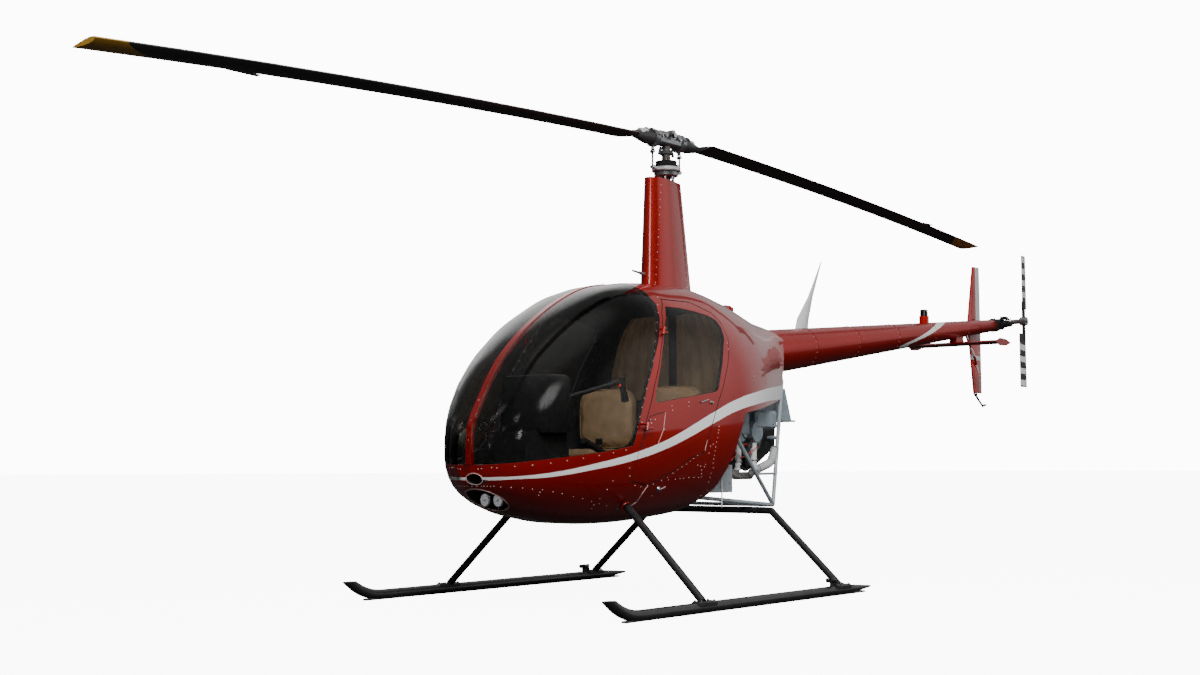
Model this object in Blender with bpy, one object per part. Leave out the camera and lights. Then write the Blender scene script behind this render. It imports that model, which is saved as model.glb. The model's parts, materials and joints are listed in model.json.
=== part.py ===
"""Two-seat light helicopter on skids, parked: a hollow cabin with hinged doors, an open engine bay under
the aft cowl, a tail boom with fins, a two-blade main rotor and a two-blade tail rotor.

Metres, +Z up, nose toward -Y, +X to port. Every piece is drawn in the mast frame, whose Y = 0 is the mast
axis and whose Z = 0 is the floor. The empty airframe_base then carries it all to the part's own origin.
"""
import math

import bmesh
import bpy
from mathutils import Matrix, Vector

# Placing and clearances
MAST_Y = -0.3263            # mast axis in the part's frame, so that the box is centred on the origin
FIT = 0.0004                # gap between fixed neighbours
INNER_FIT = 0.0008          # gap of the walls inside the hull skin
DOOR_SEAM = 0.005           # gap round a door
FAR = 2.2                   # beyond any piece

# Cabin shell
SKIN = 0.022                # thickness of hull, roof, doors and cowl
GLASS = 0.006
POST_HALF = 0.018           # half width of the post between the windshields
POST_RISE = 0.004
CABIN_HALF_WIDTH = 0.555
NOSE_Y = -1.645
WIDEST_Y = -0.45
LOWER_POWER = 2.4           # superellipse power of a hull section below its widest line
NOSE_POWER = 2.5            # and of the nose seen from above
SECTION_POINTS = 32

# Hull stations: y, z of the top, z of the keel, z of the widest line, half width (None: nose formula)
STATIONS = (
    (-1.645, 0.850, 0.720, 0.790, 0.020),
    (-1.640, 0.930, 0.665, 0.795, None),
    (-1.620, 0.985, 0.635, 0.800, None),
    (-1.576, 1.066, 0.592, 0.810, None),
    (-1.502, 1.190, 0.545, 0.825, None),
    (-1.427, 1.290, 0.510, 0.840, None),
    (-1.328, 1.390, 0.478, 0.860, None),
    (-1.193, 1.500, 0.448, 0.885, None),
    (-0.995, 1.625, 0.424, 0.920, None),
    (-0.813, 1.708, 0.418, 0.945, None),
    (-0.562, 1.762, 0.422, 0.970, None),
    (-0.302, 1.784, 0.440, 0.990, 0.555),
    (-0.100, 1.784, 0.465, 1.010, 0.552),
    (0.100, 1.762, 0.500, 1.050, 0.530),
    (0.300, 1.724, 0.540, 1.100, 0.475),
    (0.500, 1.678, 0.590, 1.160, 0.395),
    (0.700, 1.636, 0.650, 1.220, 0.305),
    (0.900, 1.612, 0.720, 1.290, 0.215),
    (1.120, 1.575, 0.800, 1.380, 0.155),
)

# Superellipse power above the widest line: y, power
UPPER_POWERS = ((-1.645, 2.4), (-1.50, 2.6), (-1.20, 2.75), (-0.50, 2.75), (-0.10, 2.6), (0.15, 2.35), (0.50, 2.3))

# Seams seen from the side, as (y, z), each run from the nose aft
GLASS_SILL = ((-1.90, 0.744), (-1.64, 0.744), (-1.50, 0.764), (-1.35, 0.784), (-1.17, 0.805), (-0.965, 0.838))
GLASS_REAR = ((-0.93, 0.93), (-0.897, 1.04), (-0.853, 1.155), (-0.789, 1.283), (-0.712, 1.417), (-0.645, 1.535),
              (-0.613, 1.613), (-0.602, 1.681), (-0.594, 1.755))
DOOR_EDGE = ((-0.935, 0.655), (-0.78, 0.632), (-0.585, 0.716), (-0.49, 0.77), (-0.368, 0.808), (-0.35, 0.873),
             (-0.247, 1.096), (-0.192, 1.182), (-0.108, 1.355), (-0.072, 1.456), (-0.082, 1.531), (-0.135, 1.599),
             (-0.30, 1.650), (-0.535, 1.650), (-0.605, 1.564), (-0.658, 1.471), (-0.723, 1.328), (-0.807, 1.14),
             (-0.865, 0.98), (-0.92, 0.80))
DOOR_WINDOW = ((-0.81, 1.063), (-0.251, 1.144), (-0.219, 1.221), (-0.178, 1.324), (-0.137, 1.412), (-0.112, 1.465),
               (-0.108, 1.518), (-0.138, 1.558), (-0.192, 1.579), (-0.297, 1.594), (-0.42, 1.606), (-0.547, 1.606),
               (-0.647, 1.466), (-0.724, 1.298), (-0.787, 1.135))
# The door's lower edge is thinner, so that it swings clear of the sill
DOOR_LIP = ((-1.0, 0.60), (-0.76, 0.58), (-0.32, 0.76), (-0.32, 0.86), (-0.50, 0.795), (-0.62, 0.735),
            (-0.80, 0.68), (-1.0, 0.69))
DOOR_LIP_THICK = 0.008
HULL_REAR = ((-0.19, 0.30), (-0.19, 0.517), (-0.12, 0.58), (-0.10, 0.70), (-0.075, 0.78), (-0.02, 0.93),
             (0.03, 1.03))
POST_FOOT_Z = 0.838         # joint of the door post with the lower hull
SIDE_JOINT_Z = 1.12         # joint behind the doors
COWL_FRONT_Y = 0.10
COWL_EDGE = ((COWL_FRONT_Y, 1.04), (0.845, 1.14), (0.955, 1.42), (1.00, 1.50), (1.10, 1.56), (1.10, FAR))

# Door hinges: two points on the port hinge line
HINGE_LOW = Vector((0.566, -0.902, 0.930))
HINGE_HIGH = Vector((0.510, -0.678, 1.480))

# Hinges: z on the hinge line, y where the door's leaf lands, y where the frame's leaf lands
HINGES = ((0.930, -0.853, -0.908), (1.450, -0.6605, -0.6705))
KNUCKLE_RADIUS = 0.009
LEAF_RADIUS = 0.006

# Inside
FLOOR_Z = 0.553
FLOOR_THICK = 0.015
BULKHEAD_Y = -0.215         # lower wall behind the seats; the upper one stands further aft
UPPER_WALL_Y = 0.050
SHELF_Z = 1.100
WALL = 0.015
WALL_OUTLINE = ((BULKHEAD_Y, 0.30), (BULKHEAD_Y, SHELF_Z), (UPPER_WALL_Y, SHELF_Z), (UPPER_WALL_Y, FAR),
                (UPPER_WALL_Y + WALL, FAR), (UPPER_WALL_Y + WALL, SHELF_Z - WALL),
                (BULKHEAD_Y + WALL, SHELF_Z - WALL), (BULKHEAD_Y + WALL, 0.30))
SEAT_FRONT_Y = -0.640
SEAT_TOP_Z = 0.720
CUSHION = 0.105
SEAT_INNER_X = 0.030
SEAT_OUTER_X = 0.455
BACK_TOP_Z = 1.190

# Boom: axis line through two stations, radius at each
BOOM_FRONT = Vector((0.0, 0.86, 1.436))
BOOM_REAR = Vector((0.0, 4.270, 1.842))
BOOM_RADIUS = (0.150, 0.048)

# Tail surfaces: rows of z, leading edge y; the trailing edge is upright
FIN_X = -0.064
FIN_THICK = 0.024
FIN_TRAILING_Y = 4.200
FIN_JOINT_Z = 1.840
UPPER_FIN = ((FIN_JOINT_Z, 3.965), (2.310, 4.075))
LOWER_FIN = ((1.290, 4.050), (FIN_JOINT_Z, 3.965))
STABILISER_Y = 3.570        # leading edge
STABILISER_CHORD = 0.230
STABILISER_HALF_SPAN = 0.375
STABILISER_Z = 1.655

# Whip antenna on the boom: leading edge y, trailing edge y, z, half thickness
ANTENNA = ((1.355, 1.526, 1.580, 0.022), (1.400, 1.545, 1.700, 0.018), (1.540, 1.600, 1.860, 0.008),
           (1.708, 1.716, 2.111, 0.003))

# Rotors
HUB_Z = 2.689
SHAFT_RADIUS = 0.026
SHAFT_FOOT_Z = 2.330
SWASH_Z = 2.484             # underside of the turning swashplate
SWASH_RADIUS = 0.087
LINK_Y = 0.130
BLADE_RADIUS = 3.81
BLADE_ROOT = 0.30
BLADE_CHORD = 0.183
BLADE_THICK = 0.15          # of the chord
BLADE_SAG = {"fore": (0.012, 0.021, 0.0080), "aft": (0.010, 0.034, 0.0080)}   # droop: a + b r + c r r
BLADE_PITCH = (math.radians(-1.0), math.radians(3.0))
TAIL_HUB = Vector((0.223, 4.388, 1.871))
TAIL_RADIUS = 0.533
TAIL_ROOT = 0.10
TAIL_CHORD = 0.100

# Mast fairing: z, leading edge y, trailing edge y, half thickness
FAIRING = ((1.720, -0.225, 0.245, 0.075), (2.430, -0.188, 0.140, 0.052))

# Engine bay: corners of the tube frame, port side
FRAME_RADIUS = 0.0127
FRAME_LOW_REAR = (0.300, 0.646, 0.491)
FRAME_LOW_FRONT = (0.290, -0.205, 0.559)
FRAME_HIGH_REAR = (0.204, 0.904, 1.250)
FRAME_HIGH_FRONT = (0.420, 0.022, 0.980)
FRAME_TOP = (0.130, 0.975, 1.400)
FRAME_BRACE_Z = 0.680
ENGINE_FRONT_Y = 0.120
ENGINE_REAR_Y = 0.520
ENGINE_LOW_Z = 0.745
ENGINE_HIGH_Z = 1.020
ENGINE_HALF_WIDTH = 0.130
CYLINDER_Y = (0.272, 0.432)
CYLINDER_Z = 0.930
CYLINDER_RADIUS = 0.070
SHROUD_X = 0.345
PIPE_X = 0.310
PIPE_LOW_Z = 0.670
SCROLL_BAR_Z = 0.900
SCROLL_Z = 0.930
SCROLL_REAR = 0.245         # depth behind the engine
TRAY_X = 0.345
TRAY_REAR_Y = 0.163

# Nose lamps and vent
LAMP_CENTRES = (-0.052, 0.042)
LAMP_Z = 0.562
LAMP_RADIUS = 0.036
LAMP_HOLE = (0.0, 0.564, 0.118, 0.051)      # x, z, half width, half height of the opening
LAMP_BACK_Y = -1.415
VENT_HOLE = (0.030, 0.672, 0.050, 0.024)
VENT_BACK_Y = -1.56

# Skids
SKID_X = 0.925
SKID_RADIUS = 0.0285
SKID_Z = SKID_RADIUS * math.cos(math.pi / 12)   # the twelve-sided tube rests on a flat
TOE_START_Y = -1.4125
TOE_RADIUS = 0.357
TOE_ANGLE = math.radians(40)
TOE_CUT_Z = 0.111           # the toe is cut off level
STRUT_RADIUS = 0.021
FRONT_STRUT_Y = -0.898
REAR_STRUT_Y = 0.391

MATERIALS = {
    "red_paint": ((0.42, 0.012, 0.010), 0.22, 0.35),
    "black_paint": ((0.012, 0.012, 0.013), 0.35, 0.2),
    "grey_frame": ((0.42, 0.45, 0.48), 0.45, 0.4),
    "bare_metal": ((0.55, 0.56, 0.57), 0.35, 0.9),
    "glass": ((0.03, 0.035, 0.04), 0.05, 0.0),
    "tan_leather": ((0.22, 0.13, 0.07), 0.6, 0.0),
    "black_plastic": ((0.015, 0.015, 0.016), 0.5, 0.0),
    "carpet": ((0.03, 0.028, 0.027), 0.95, 0.0),
    "white_plastic": ((0.8, 0.8, 0.8), 0.4, 0.0),
    "dark_engine": ((0.06, 0.065, 0.07), 0.55, 0.5),
    "steel": ((0.38, 0.37, 0.36), 0.3, 1.0),
}


# Scene helpers

def clear_scene():
    for obj in list(bpy.data.objects):
        bpy.data.objects.remove(obj, do_unlink=True)


def material(name):
    found = bpy.data.materials.get(name)
    if found:
        return found
    colour, roughness, metallic = MATERIALS[name]
    made = bpy.data.materials.new(name)
    made.use_nodes = True
    shader = made.node_tree.nodes["Principled BSDF"]
    shader.inputs["Base Color"].default_value = (*colour, 1.0)
    shader.inputs["Roughness"].default_value = roughness
    shader.inputs["Metallic"].default_value = metallic
    return made


def empty(name, location, parent=None):
    made = bpy.data.objects.new(name, None)
    bpy.context.scene.collection.objects.link(made)
    made.parent = parent
    made.location = location
    return made


def new_object(name, mesh, slot=None):
    made = bpy.data.objects.new(name, mesh)
    bpy.context.scene.collection.objects.link(made)
    if slot:
        mesh.materials.clear()
        mesh.materials.append(material(slot))
    return made


def mesh_object(name, points, faces, slot=None):
    mesh = bpy.data.meshes.new(name)
    mesh.from_pydata([tuple(p) for p in points], [], faces)
    shaped = bmesh.new()
    shaped.from_mesh(mesh)
    bmesh.ops.recalc_face_normals(shaped, faces=shaped.faces)
    shaped.to_mesh(mesh)
    shaped.free()
    return new_object(name, mesh, slot)


def drop(obj):
    mesh = obj.data
    bpy.data.objects.remove(obj, do_unlink=True)
    bpy.data.meshes.remove(mesh)


def carve(obj, cutter, operation="DIFFERENCE", keep_cutter=False, solver="EXACT"):
    """Applies one Boolean and tidies the result."""
    step = obj.modifiers.new("carve", "BOOLEAN")
    step.operation = operation
    step.solver = solver
    step.object = cutter
    bpy.context.view_layer.update()
    evaluated = obj.evaluated_get(bpy.context.evaluated_depsgraph_get())
    result = bpy.data.meshes.new_from_object(evaluated)
    obj.modifiers.clear()
    old = obj.data
    obj.data = result
    bpy.data.meshes.remove(old)
    shaped = bmesh.new()
    shaped.from_mesh(result)
    bmesh.ops.remove_doubles(shaped, verts=shaped.verts, dist=1e-5)
    bmesh.ops.dissolve_degenerate(shaped, edges=shaped.edges, dist=1e-5)
    shaped.to_mesh(result)
    shaped.free()
    if not keep_cutter:
        drop(cutter)
    return obj


def copy_of(obj, name, slot=None):
    return new_object(name, obj.data.copy(), slot)


def finish(obj, slot, parent, location=None):
    """Gives a piece its material, smooth shading and its place under a parent empty."""
    obj.data.materials.clear()
    obj.data.materials.append(material(slot))
    for face in obj.data.polygons:
        face.material_index = 0
    obj.data.shade_smooth()
    obj.data.set_sharp_from_angle(angle=math.radians(32))
    if location is not None:
        obj.data.transform(Matrix.Translation(-Vector(location)))
    obj.parent = parent
    return obj


# Shape helpers

def loft(name, rings, slot=None):
    """Closed solid through equal rings of points, with flat end caps."""
    count = len(rings[0])
    points = [p for ring in rings for p in ring]
    faces = []
    for i in range(len(rings) - 1):
        for j in range(count):
            k = (j + 1) % count
            faces.append((i * count + j, i * count + k, (i + 1) * count + k, (i + 1) * count + j))
    faces.append(tuple(range(count)))
    last = (len(rings) - 1) * count
    faces.append(tuple(range(last, last + count)))
    return mesh_object(name, points, faces, slot)


def side_prism(name, outline, x_low, x_high):
    """Extrudes a (y, z) outline along X."""
    rings = [[Vector((x, y, z)) for y, z in outline] for x in (x_low, x_high)]
    return loft(name, rings)


def box(name, low, high, slot=None):
    outline = ((low[1], low[2]), (high[1], low[2]), (high[1], high[2]), (low[1], high[2]))
    made = side_prism(name, outline, low[0], high[0])
    if slot:
        made.data.materials.append(material(slot))
    return made


def bevelled_box(name, low, high, width, segments=2):
    made = box(name, low, high)
    shaped = bmesh.new()
    shaped.from_mesh(made.data)
    bmesh.ops.bevel(shaped, geom=shaped.edges[:], offset=width, segments=segments, profile=0.5,
                    affect="EDGES", clamp_overlap=True)
    shaped.to_mesh(made.data)
    shaped.free()
    return made


def ring_at(centre, normal, radius, sides, up=None):
    normal = normal.normalized()
    up = up or (Vector((0, 0, 1)) if abs(normal.z) < 0.9 else Vector((0, 1, 0)))
    across = normal.cross(up).normalized()
    above = across.cross(normal)
    turns = [2 * math.pi * (k + 0.5) / sides for k in range(sides)]
    return [centre + radius * (math.cos(a) * across + math.sin(a) * above) for a in turns]


def tube(name, points, radius, sides=10, slot=None):
    """Round bar along a polyline, mitred at its bends; radius may be one number or one for each point."""
    points = [Vector(p) for p in points]
    radii = radius if isinstance(radius, (tuple, list)) else [radius] * len(points)
    rings = []
    up = None
    for i, centre in enumerate(points):
        before = (centre - points[i - 1]).normalized() if i else (points[1] - centre).normalized()
        after = (points[i + 1] - centre).normalized() if i + 1 < len(points) else before
        along = (before + after).normalized()
        if up is None:
            up = Vector((0, 0, 1)) if abs(along.z) < 0.9 else Vector((0, 1, 0))
        up = (up - up.dot(along) * along).normalized()
        ring = ring_at(centre, along, radii[i], sides, up)
        half = before.angle(after, 0.0) / 2
        bend = after - before
        if bend.length > 1e-6:
            bend.normalize()
            ring = [p + (p - centre).dot(bend) * (1 / math.cos(half) - 1) * bend for p in ring]
        rings.append(ring)
    return loft(name, rings, slot)


def turned(name, start, axis, profile, sides=24, slot=None):
    """Solid of revolution: profile rows are (distance along the axis, radius)."""
    axis = Vector(axis).normalized()
    rings = [ring_at(Vector(start) + axis * along, axis, radius, sides) for along, radius in profile]
    return loft(name, rings, slot)


def keep_only(obj, key):
    """Keeps the one loose body for which key(its points) is largest."""
    shaped = bmesh.new()
    shaped.from_mesh(obj.data)
    left = set(shaped.verts)
    bodies = []
    while left:
        seed = left.pop()
        body = {seed}
        edge_of_body = [seed]
        while edge_of_body:
            for edge in edge_of_body.pop().link_edges:
                for vert in edge.verts:
                    if vert not in body:
                        body.add(vert)
                        edge_of_body.append(vert)
        left -= body
        bodies.append(body)
    best = max(bodies, key=lambda body: key([v.co for v in body]))
    bmesh.ops.delete(shaped, geom=[v for v in shaped.verts if v not in best], context="VERTS")
    shaped.to_mesh(obj.data)
    shaped.free()


def keep_highest(obj):
    keep_only(obj, lambda points: max(p.z for p in points))


def keep_largest(obj):
    keep_only(obj, lambda points: max(p.z for p in points) - min(p.z for p in points))


def joined(name, pieces):
    """Unites overlapping solids into one."""
    whole = pieces[0]
    whole.name = name
    for piece in pieces[1:]:
        carve(whole, piece, "UNION")
    return whole


def grown(outline, amount):
    """Moves every side of a closed outline outward by amount (inward when negative)."""
    area = sum(a[0] * b[1] - b[0] * a[1] for a, b in zip(outline, outline[1:] + outline[:1]))
    turn = 1.0 if area > 0 else -1.0
    moved = []
    count = len(outline)
    for i in range(count):
        before = Vector(outline[i]) - Vector(outline[i - 1])
        after = Vector(outline[(i + 1) % count]) - Vector(outline[i])
        normals = [Vector((edge.y, -edge.x)).normalized() * turn for edge in (before, after)]
        middle = (normals[0] + normals[1]).normalized()
        reach = amount / max(0.35, middle.dot(normals[0]))
        moved.append((outline[i][0] + middle.x * reach, outline[i][1] + middle.y * reach))
    return tuple(moved)


def mirrored_points(points):
    return [Vector((-p[0], p[1], p[2])) for p in points]


def arc_outline(outline, rounds):
    """Replaces the named corners of an outline by arcs: rounds maps index to (cut length, steps)."""
    result = []
    count = len(outline)
    for i, corner in enumerate(outline):
        if i not in rounds:
            result.append(corner)
            continue
        cut, steps = rounds[i]
        here = Vector(corner)
        start = here + (Vector(outline[i - 1]) - here).normalized() * cut
        end = here + (Vector(outline[(i + 1) % count]) - here).normalized() * cut
        for step in range(steps + 1):
            t = step / steps
            point = start * (1 - t) ** 2 + here * 2 * t * (1 - t) + end * t ** 2
            result.append((point.x, point.y))
    return tuple(result)


# Hull surface

def between(table, y):
    """Value at y in a table of (y, value) rows, straight between them."""
    for (y_low, low), (y_high, high) in zip(table, table[1:]):
        if y <= y_high:
            return low + (high - low) * max(0.0, (y - y_low) / (y_high - y_low))
    return table[-1][1]


def half_width(y, given):
    if given is not None:
        return given
    t = abs((y - WIDEST_Y) / (NOSE_Y - WIDEST_Y)) if y < WIDEST_Y else 0.0
    return CABIN_HALF_WIDTH * (1 - t ** NOSE_POWER) ** (1 / NOSE_POWER)


def surface_x(y, z):
    """Half width of the hull surface at a point above the widest line."""
    top, widest = (between([(row[0], row[column]) for row in STATIONS], y) for column in (1, 3))
    power = between(UPPER_POWERS, y)
    rise = max(0.0, (z - widest) / (top - widest))
    return half_width(y, None) * (1 - rise ** power) ** (1 / power)


def add_hinges(obj, side, on_door):
    """Knuckles on the hinge line with the leaves that carry them."""
    for z, door_y, frame_y in HINGES:
        low, high, foot_y = (-0.012, 0.012, door_y) if on_door else (0.0124, 0.030, frame_y)
        ends = []
        for height in (low, high, (low + high) / 2):
            share = (z + height - HINGE_LOW.z) / (HINGE_HIGH.z - HINGE_LOW.z)
            point = HINGE_LOW + (HINGE_HIGH - HINGE_LOW) * share
            ends.append(Vector((side * point.x, point.y, point.z)))
        foot = Vector((side * (surface_x(foot_y, ends[2].z) - 0.008), foot_y, ends[2].z))
        elbow = Vector((ends[2].x, foot_y, ends[2].z))
        carve(obj, tube("leaf", (ends[2], elbow, foot), LEAF_RADIUS, 8), "UNION")
        carve(obj, tube("knuckle", ends[:2], KNUCKLE_RADIUS, 8), "UNION")


def section(station, count=SECTION_POINTS):
    """One hull section: two superellipse halves that meet on the widest line."""
    y, top, keel, widest, width = station
    width = half_width(y, width)
    upper_power = between(UPPER_POWERS, y)
    ring = []
    for k in range(count):
        angle = 2 * math.pi * (k + 0.5) / count
        c, s = math.cos(angle), math.sin(angle)
        power = upper_power if s > 0 else LOWER_POWER
        reach = top - widest if s > 0 else widest - keel
        x = width * math.copysign(abs(c) ** (2 / power), c)
        z = widest + reach * math.copysign(abs(s) ** (2 / power), s)
        ring.append(Vector((x, y, z)))
    return ring


def hull_solid(name, inward):
    """The whole body outline as one closed solid, moved inward along its own normals."""
    rings = [section(station) for station in STATIONS]
    count = len(rings[0])
    last = len(rings) - 1
    moved = []
    for i, ring in enumerate(rings):
        new_ring = []
        for j, point in enumerate(ring):
            around = ring[(j + 1) % count] - ring[j - 1]
            along = rings[min(i + 1, last)][j] - rings[max(i - 1, 0)][j]
            normal = around.cross(along).normalized()
            if normal.dot(point - Vector((0, point.y + 0.05, STATIONS[i][3]))) < 0:
                normal.negate()
            if i == 0:
                normal = Vector((0, -1, 0))
            new_ring.append(point - normal * inward)
        moved.append(new_ring)
    if inward > 0:
        moved[-1] = [p + Vector((0, 0.05, 0)) for p in moved[-1]]
    return loft(name, moved)


def shell(name, outer_inward, thickness):
    whole = hull_solid(name, outer_inward)
    return carve(whole, hull_solid("hollow", thickness))


def glass_outline():
    return GLASS_SILL + GLASS_REAR + ((-0.55, FAR), (-1.90, FAR))


def panel(source, name, outline, x_low=-1.0, x_high=1.0):
    """The part of a shell inside a side-view outline."""
    made = copy_of(source, name)
    return carve(made, side_prism("cutter", outline, x_low, x_high), "INTERSECT")


def build_cabin(base, door_parents):
    full = shell("full_shell", 0.0, SKIN)
    door_hole = grown(DOOR_EDGE, DOOR_SEAM / 2)
    glass_hole = glass_outline()

    red = copy_of(full, "red_shell")
    carve(red, side_prism("cutter", door_hole, -1.0, 1.0))
    carve(red, side_prism("cutter", glass_hole, -1.0, 1.0))

    lower = ((-1.90, 0.20), (-0.19, 0.20)) + HULL_REAR + (
        (COWL_FRONT_Y, 1.04), (COWL_FRONT_Y, SIDE_JOINT_Z), (-0.50, SIDE_JOINT_Z), (-0.50, POST_FOOT_Z),
        (-1.90, POST_FOOT_Z))
    hull = panel(red, "hull_lower", grown(lower, -FIT / 2))
    for side in (1, -1):
        carve(hull, tube("cutter", front_strut(side), STRUT_RADIUS + 2 * FIT, 12))
    carve(hull, oval_prism("cutter", -1.75, LAMP_BACK_Y + 0.002, LAMP_HOLE, 0.75))
    carve(hull, oval_prism("cutter", -1.75, VENT_BACK_Y, VENT_HOLE, 1.0))
    finish(hull, "red_paint", base)

    upper = ((-1.90, POST_FOOT_Z), (-0.50, POST_FOOT_Z), (-0.50, SIDE_JOINT_Z), (COWL_FRONT_Y, SIDE_JOINT_Z),
             (COWL_FRONT_Y, FAR), (-1.90, FAR))
    roof = panel(red, "cabin_frame", grown(upper, -FIT / 2))
    for side in (1, -1):
        add_hinges(roof, side, False)
    finish(roof, "red_paint", base)
    drop(red)

    cowl = panel(full, "cowl_aft", grown(COWL_EDGE + ((COWL_FRONT_Y, FAR),), -FIT / 2))
    carve(cowl, boom_solid("cutter", 2 * FIT), solver="MANIFOLD")
    finish(cowl, "red_paint", base)

    post_shell = shell("post_shell", -POST_RISE, SKIN)
    post = panel(post_shell, "centre_post", grown(glass_hole, -FIT), -POST_HALF, POST_HALF)
    finish(post, "red_paint", base)
    drop(post_shell)

    glass = shell("glass_shell", 0.0, GLASS)
    pane = grown(glass_hole, -FIT)
    lip_core = hull_solid("lip_core", DOOR_LIP_THICK)
    for side, name in ((1, "port"), (-1, "starboard")):
        near, far = sorted((side * (POST_HALF + FIT), side * 1.0))
        screen = panel(glass, f"windshield_{name}", pane, near, far)
        finish(screen, "glass", base)

        near, far = sorted((side * 0.05, side * 1.0))
        pivot = door_parents[name].location
        door = panel(full, f"door_{name}", grown(DOOR_EDGE, -DOOR_SEAM / 2), near, far)
        carve(door, side_prism("cutter", arc_outline(DOOR_WINDOW, {0: (0.03, 3), 1: (0.03, 3)}), near, far))
        carve(door, panel(lip_core, "cutter", DOOR_LIP, near, far))
        add_hinges(door, side, True)
        finish(door, "red_paint", door_parents[name], pivot)
        window_edge = grown(arc_outline(DOOR_WINDOW, {0: (0.03, 3), 1: (0.03, 3)}), -FIT)
        window = panel(glass, f"door_window_{name}", window_edge, near, far)
        finish(window, "glass", door_parents[name], pivot)
    drop(lip_core)
    drop(glass)
    drop(full)


def oval_prism(name, y_low, y_high, hole, roundness, sides=20):
    """Oval opening (x, z, half width, half height) extruded along Y; roundness 1 is an ellipse."""
    x, z, half_width_here, half_height = hole
    rings = []
    for y in (y_low, y_high):
        ring = []
        for k in range(sides):
            angle = 2 * math.pi * (k + 0.5) / sides
            c, s = math.cos(angle), math.sin(angle)
            ring.append(Vector((x + half_width_here * math.copysign(abs(c) ** roundness, c), y,
                                z + half_height * math.copysign(abs(s) ** roundness, s))))
        rings.append(ring)
    return loft(name, rings)


def build_lamps(base, inner):
    """Pan behind the two nose openings, fitted to the inside of the hull, with its two lamps."""
    room = ((-1.68, 0.475), (LAMP_BACK_Y + 0.02, 0.475), (LAMP_BACK_Y + 0.02, 0.715), (-1.68, 0.715))
    pan = panel(inner, "landing_lamps", room, -0.15, 0.15)
    carve(pan, oval_prism("cutter", -1.75, LAMP_BACK_Y, LAMP_HOLE, 0.75))
    carve(pan, oval_prism("cutter", -1.75, VENT_BACK_Y, VENT_HOLE, 1.0))
    for x in LAMP_CENTRES:
        lamp = turned("lamp", (x, LAMP_BACK_Y - 0.055, LAMP_Z), (0, 1, 0),
                      ((0.0, 0.8 * LAMP_RADIUS), (0.008, LAMP_RADIUS), (0.0555, LAMP_RADIUS)), 16)
        carve(pan, lamp, "UNION")
    finish(pan, "black_plastic", base)


def build_inside(base):
    inner = hull_solid("inner", SKIN + INNER_FIT)
    build_lamps(base, inner)
    bulkhead = panel(inner, "bulkhead", WALL_OUTLINE)
    front = LAMP_BACK_Y + 0.02 + FIT
    floor = panel(inner, "cabin_floor", ((front, FLOOR_Z), (BULKHEAD_Y - FIT, FLOOR_Z),
                                         (BULKHEAD_Y - FIT, FLOOR_Z + FLOOR_THICK),
                                         (front, FLOOR_Z + FLOOR_THICK)))
    seat_low = FLOOR_Z + FLOOR_THICK + FIT
    seat_box = panel(inner, "seat_base", ((SEAT_FRONT_Y + 0.03, seat_low), (BULKHEAD_Y - FIT, seat_low),
                                          (BULKHEAD_Y - FIT, SEAT_TOP_Z), (SEAT_FRONT_Y + 0.03, SEAT_TOP_Z)))
    drop(inner)
    finish(bulkhead, "carpet", base)
    finish(floor, "carpet", base)
    finish(seat_box, "carpet", base)
    for side, name in ((1, "port"), (-1, "starboard")):
        near, far = sorted((side * SEAT_INNER_X, side * SEAT_OUTER_X))
        cushion = bevelled_box(f"seat_cushion_{name}", (near, SEAT_FRONT_Y, SEAT_TOP_Z + FIT),
                               (far, BULKHEAD_Y - FIT, SEAT_TOP_Z + CUSHION), 0.02)
        finish(cushion, "tan_leather", base)
        back = bevelled_box(f"seat_back_{name}", (near, BULKHEAD_Y - 0.085, SEAT_TOP_Z + CUSHION + 0.002),
                            (far, BULKHEAD_Y - FIT, BACK_TOP_Z), 0.02)
        finish(back, "tan_leather", base)


def build_controls(base):
    floor = FLOOR_Z + FLOOR_THICK + FIT
    pedestal = box("pedestal", (-0.11, -1.34, floor), (0.11, -1.02, 0.92))
    head = bevelled_box("head", (-0.17, -1.25, 0.90), (0.17, -1.04, 1.22), 0.03)
    console = joined("instrument_console", [pedestal, head])
    finish(console, "black_plastic", base)

    post = tube("post", ((0.0, -0.90, floor), (0.0, -0.90, 1.08), (0.0, -0.86, 1.12)), 0.014, 8)
    bar = tube("bar", ((-0.31, -0.80, 1.06), (0.0, -0.86, 1.115), (0.31, -0.80, 1.19)), 0.012, 8)
    grips = [tube("grip", ((x, -0.80, z + 0.02), (x, -0.78, z - 0.11)), 0.017, 8)
             for x, z in ((-0.31, 1.06), (0.31, 1.19))]
    finish(joined("cyclic_stick", [post, bar] + grips), "black_plastic", base)

    lever = tube("lever", ((0.0, -0.30, SEAT_TOP_Z + 0.0109), (0.0, -0.62, 0.82), (0.0, -0.74, 0.865)), 0.012, 8)
    grip = tube("grip", ((0.0, -0.62, 0.82), (0.0, -0.76, 0.873)), 0.019, 8)
    finish(joined("collective_lever", [lever, grip]), "black_plastic", base)
    for side, name in ((1, "port"), (-1, "starboard")):
        rod = tube("rod", ((side * 0.145, -1.245, 0.66), (side * 0.295, -1.245, 0.66)), 0.008, 8)
        pieces = [rod]
        for x in (0.16, 0.28):
            pieces.append(tube("arm", ((side * x, -1.20, floor + 0.004), (side * x, -1.27, 0.71)), 0.009, 8))
            pieces.append(box("pad", (side * x - 0.035, -1.285, 0.70), (side * x + 0.035, -1.265, 0.76)))
        finish(joined(f"pedals_{name}", pieces), "black_plastic", base)


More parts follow.
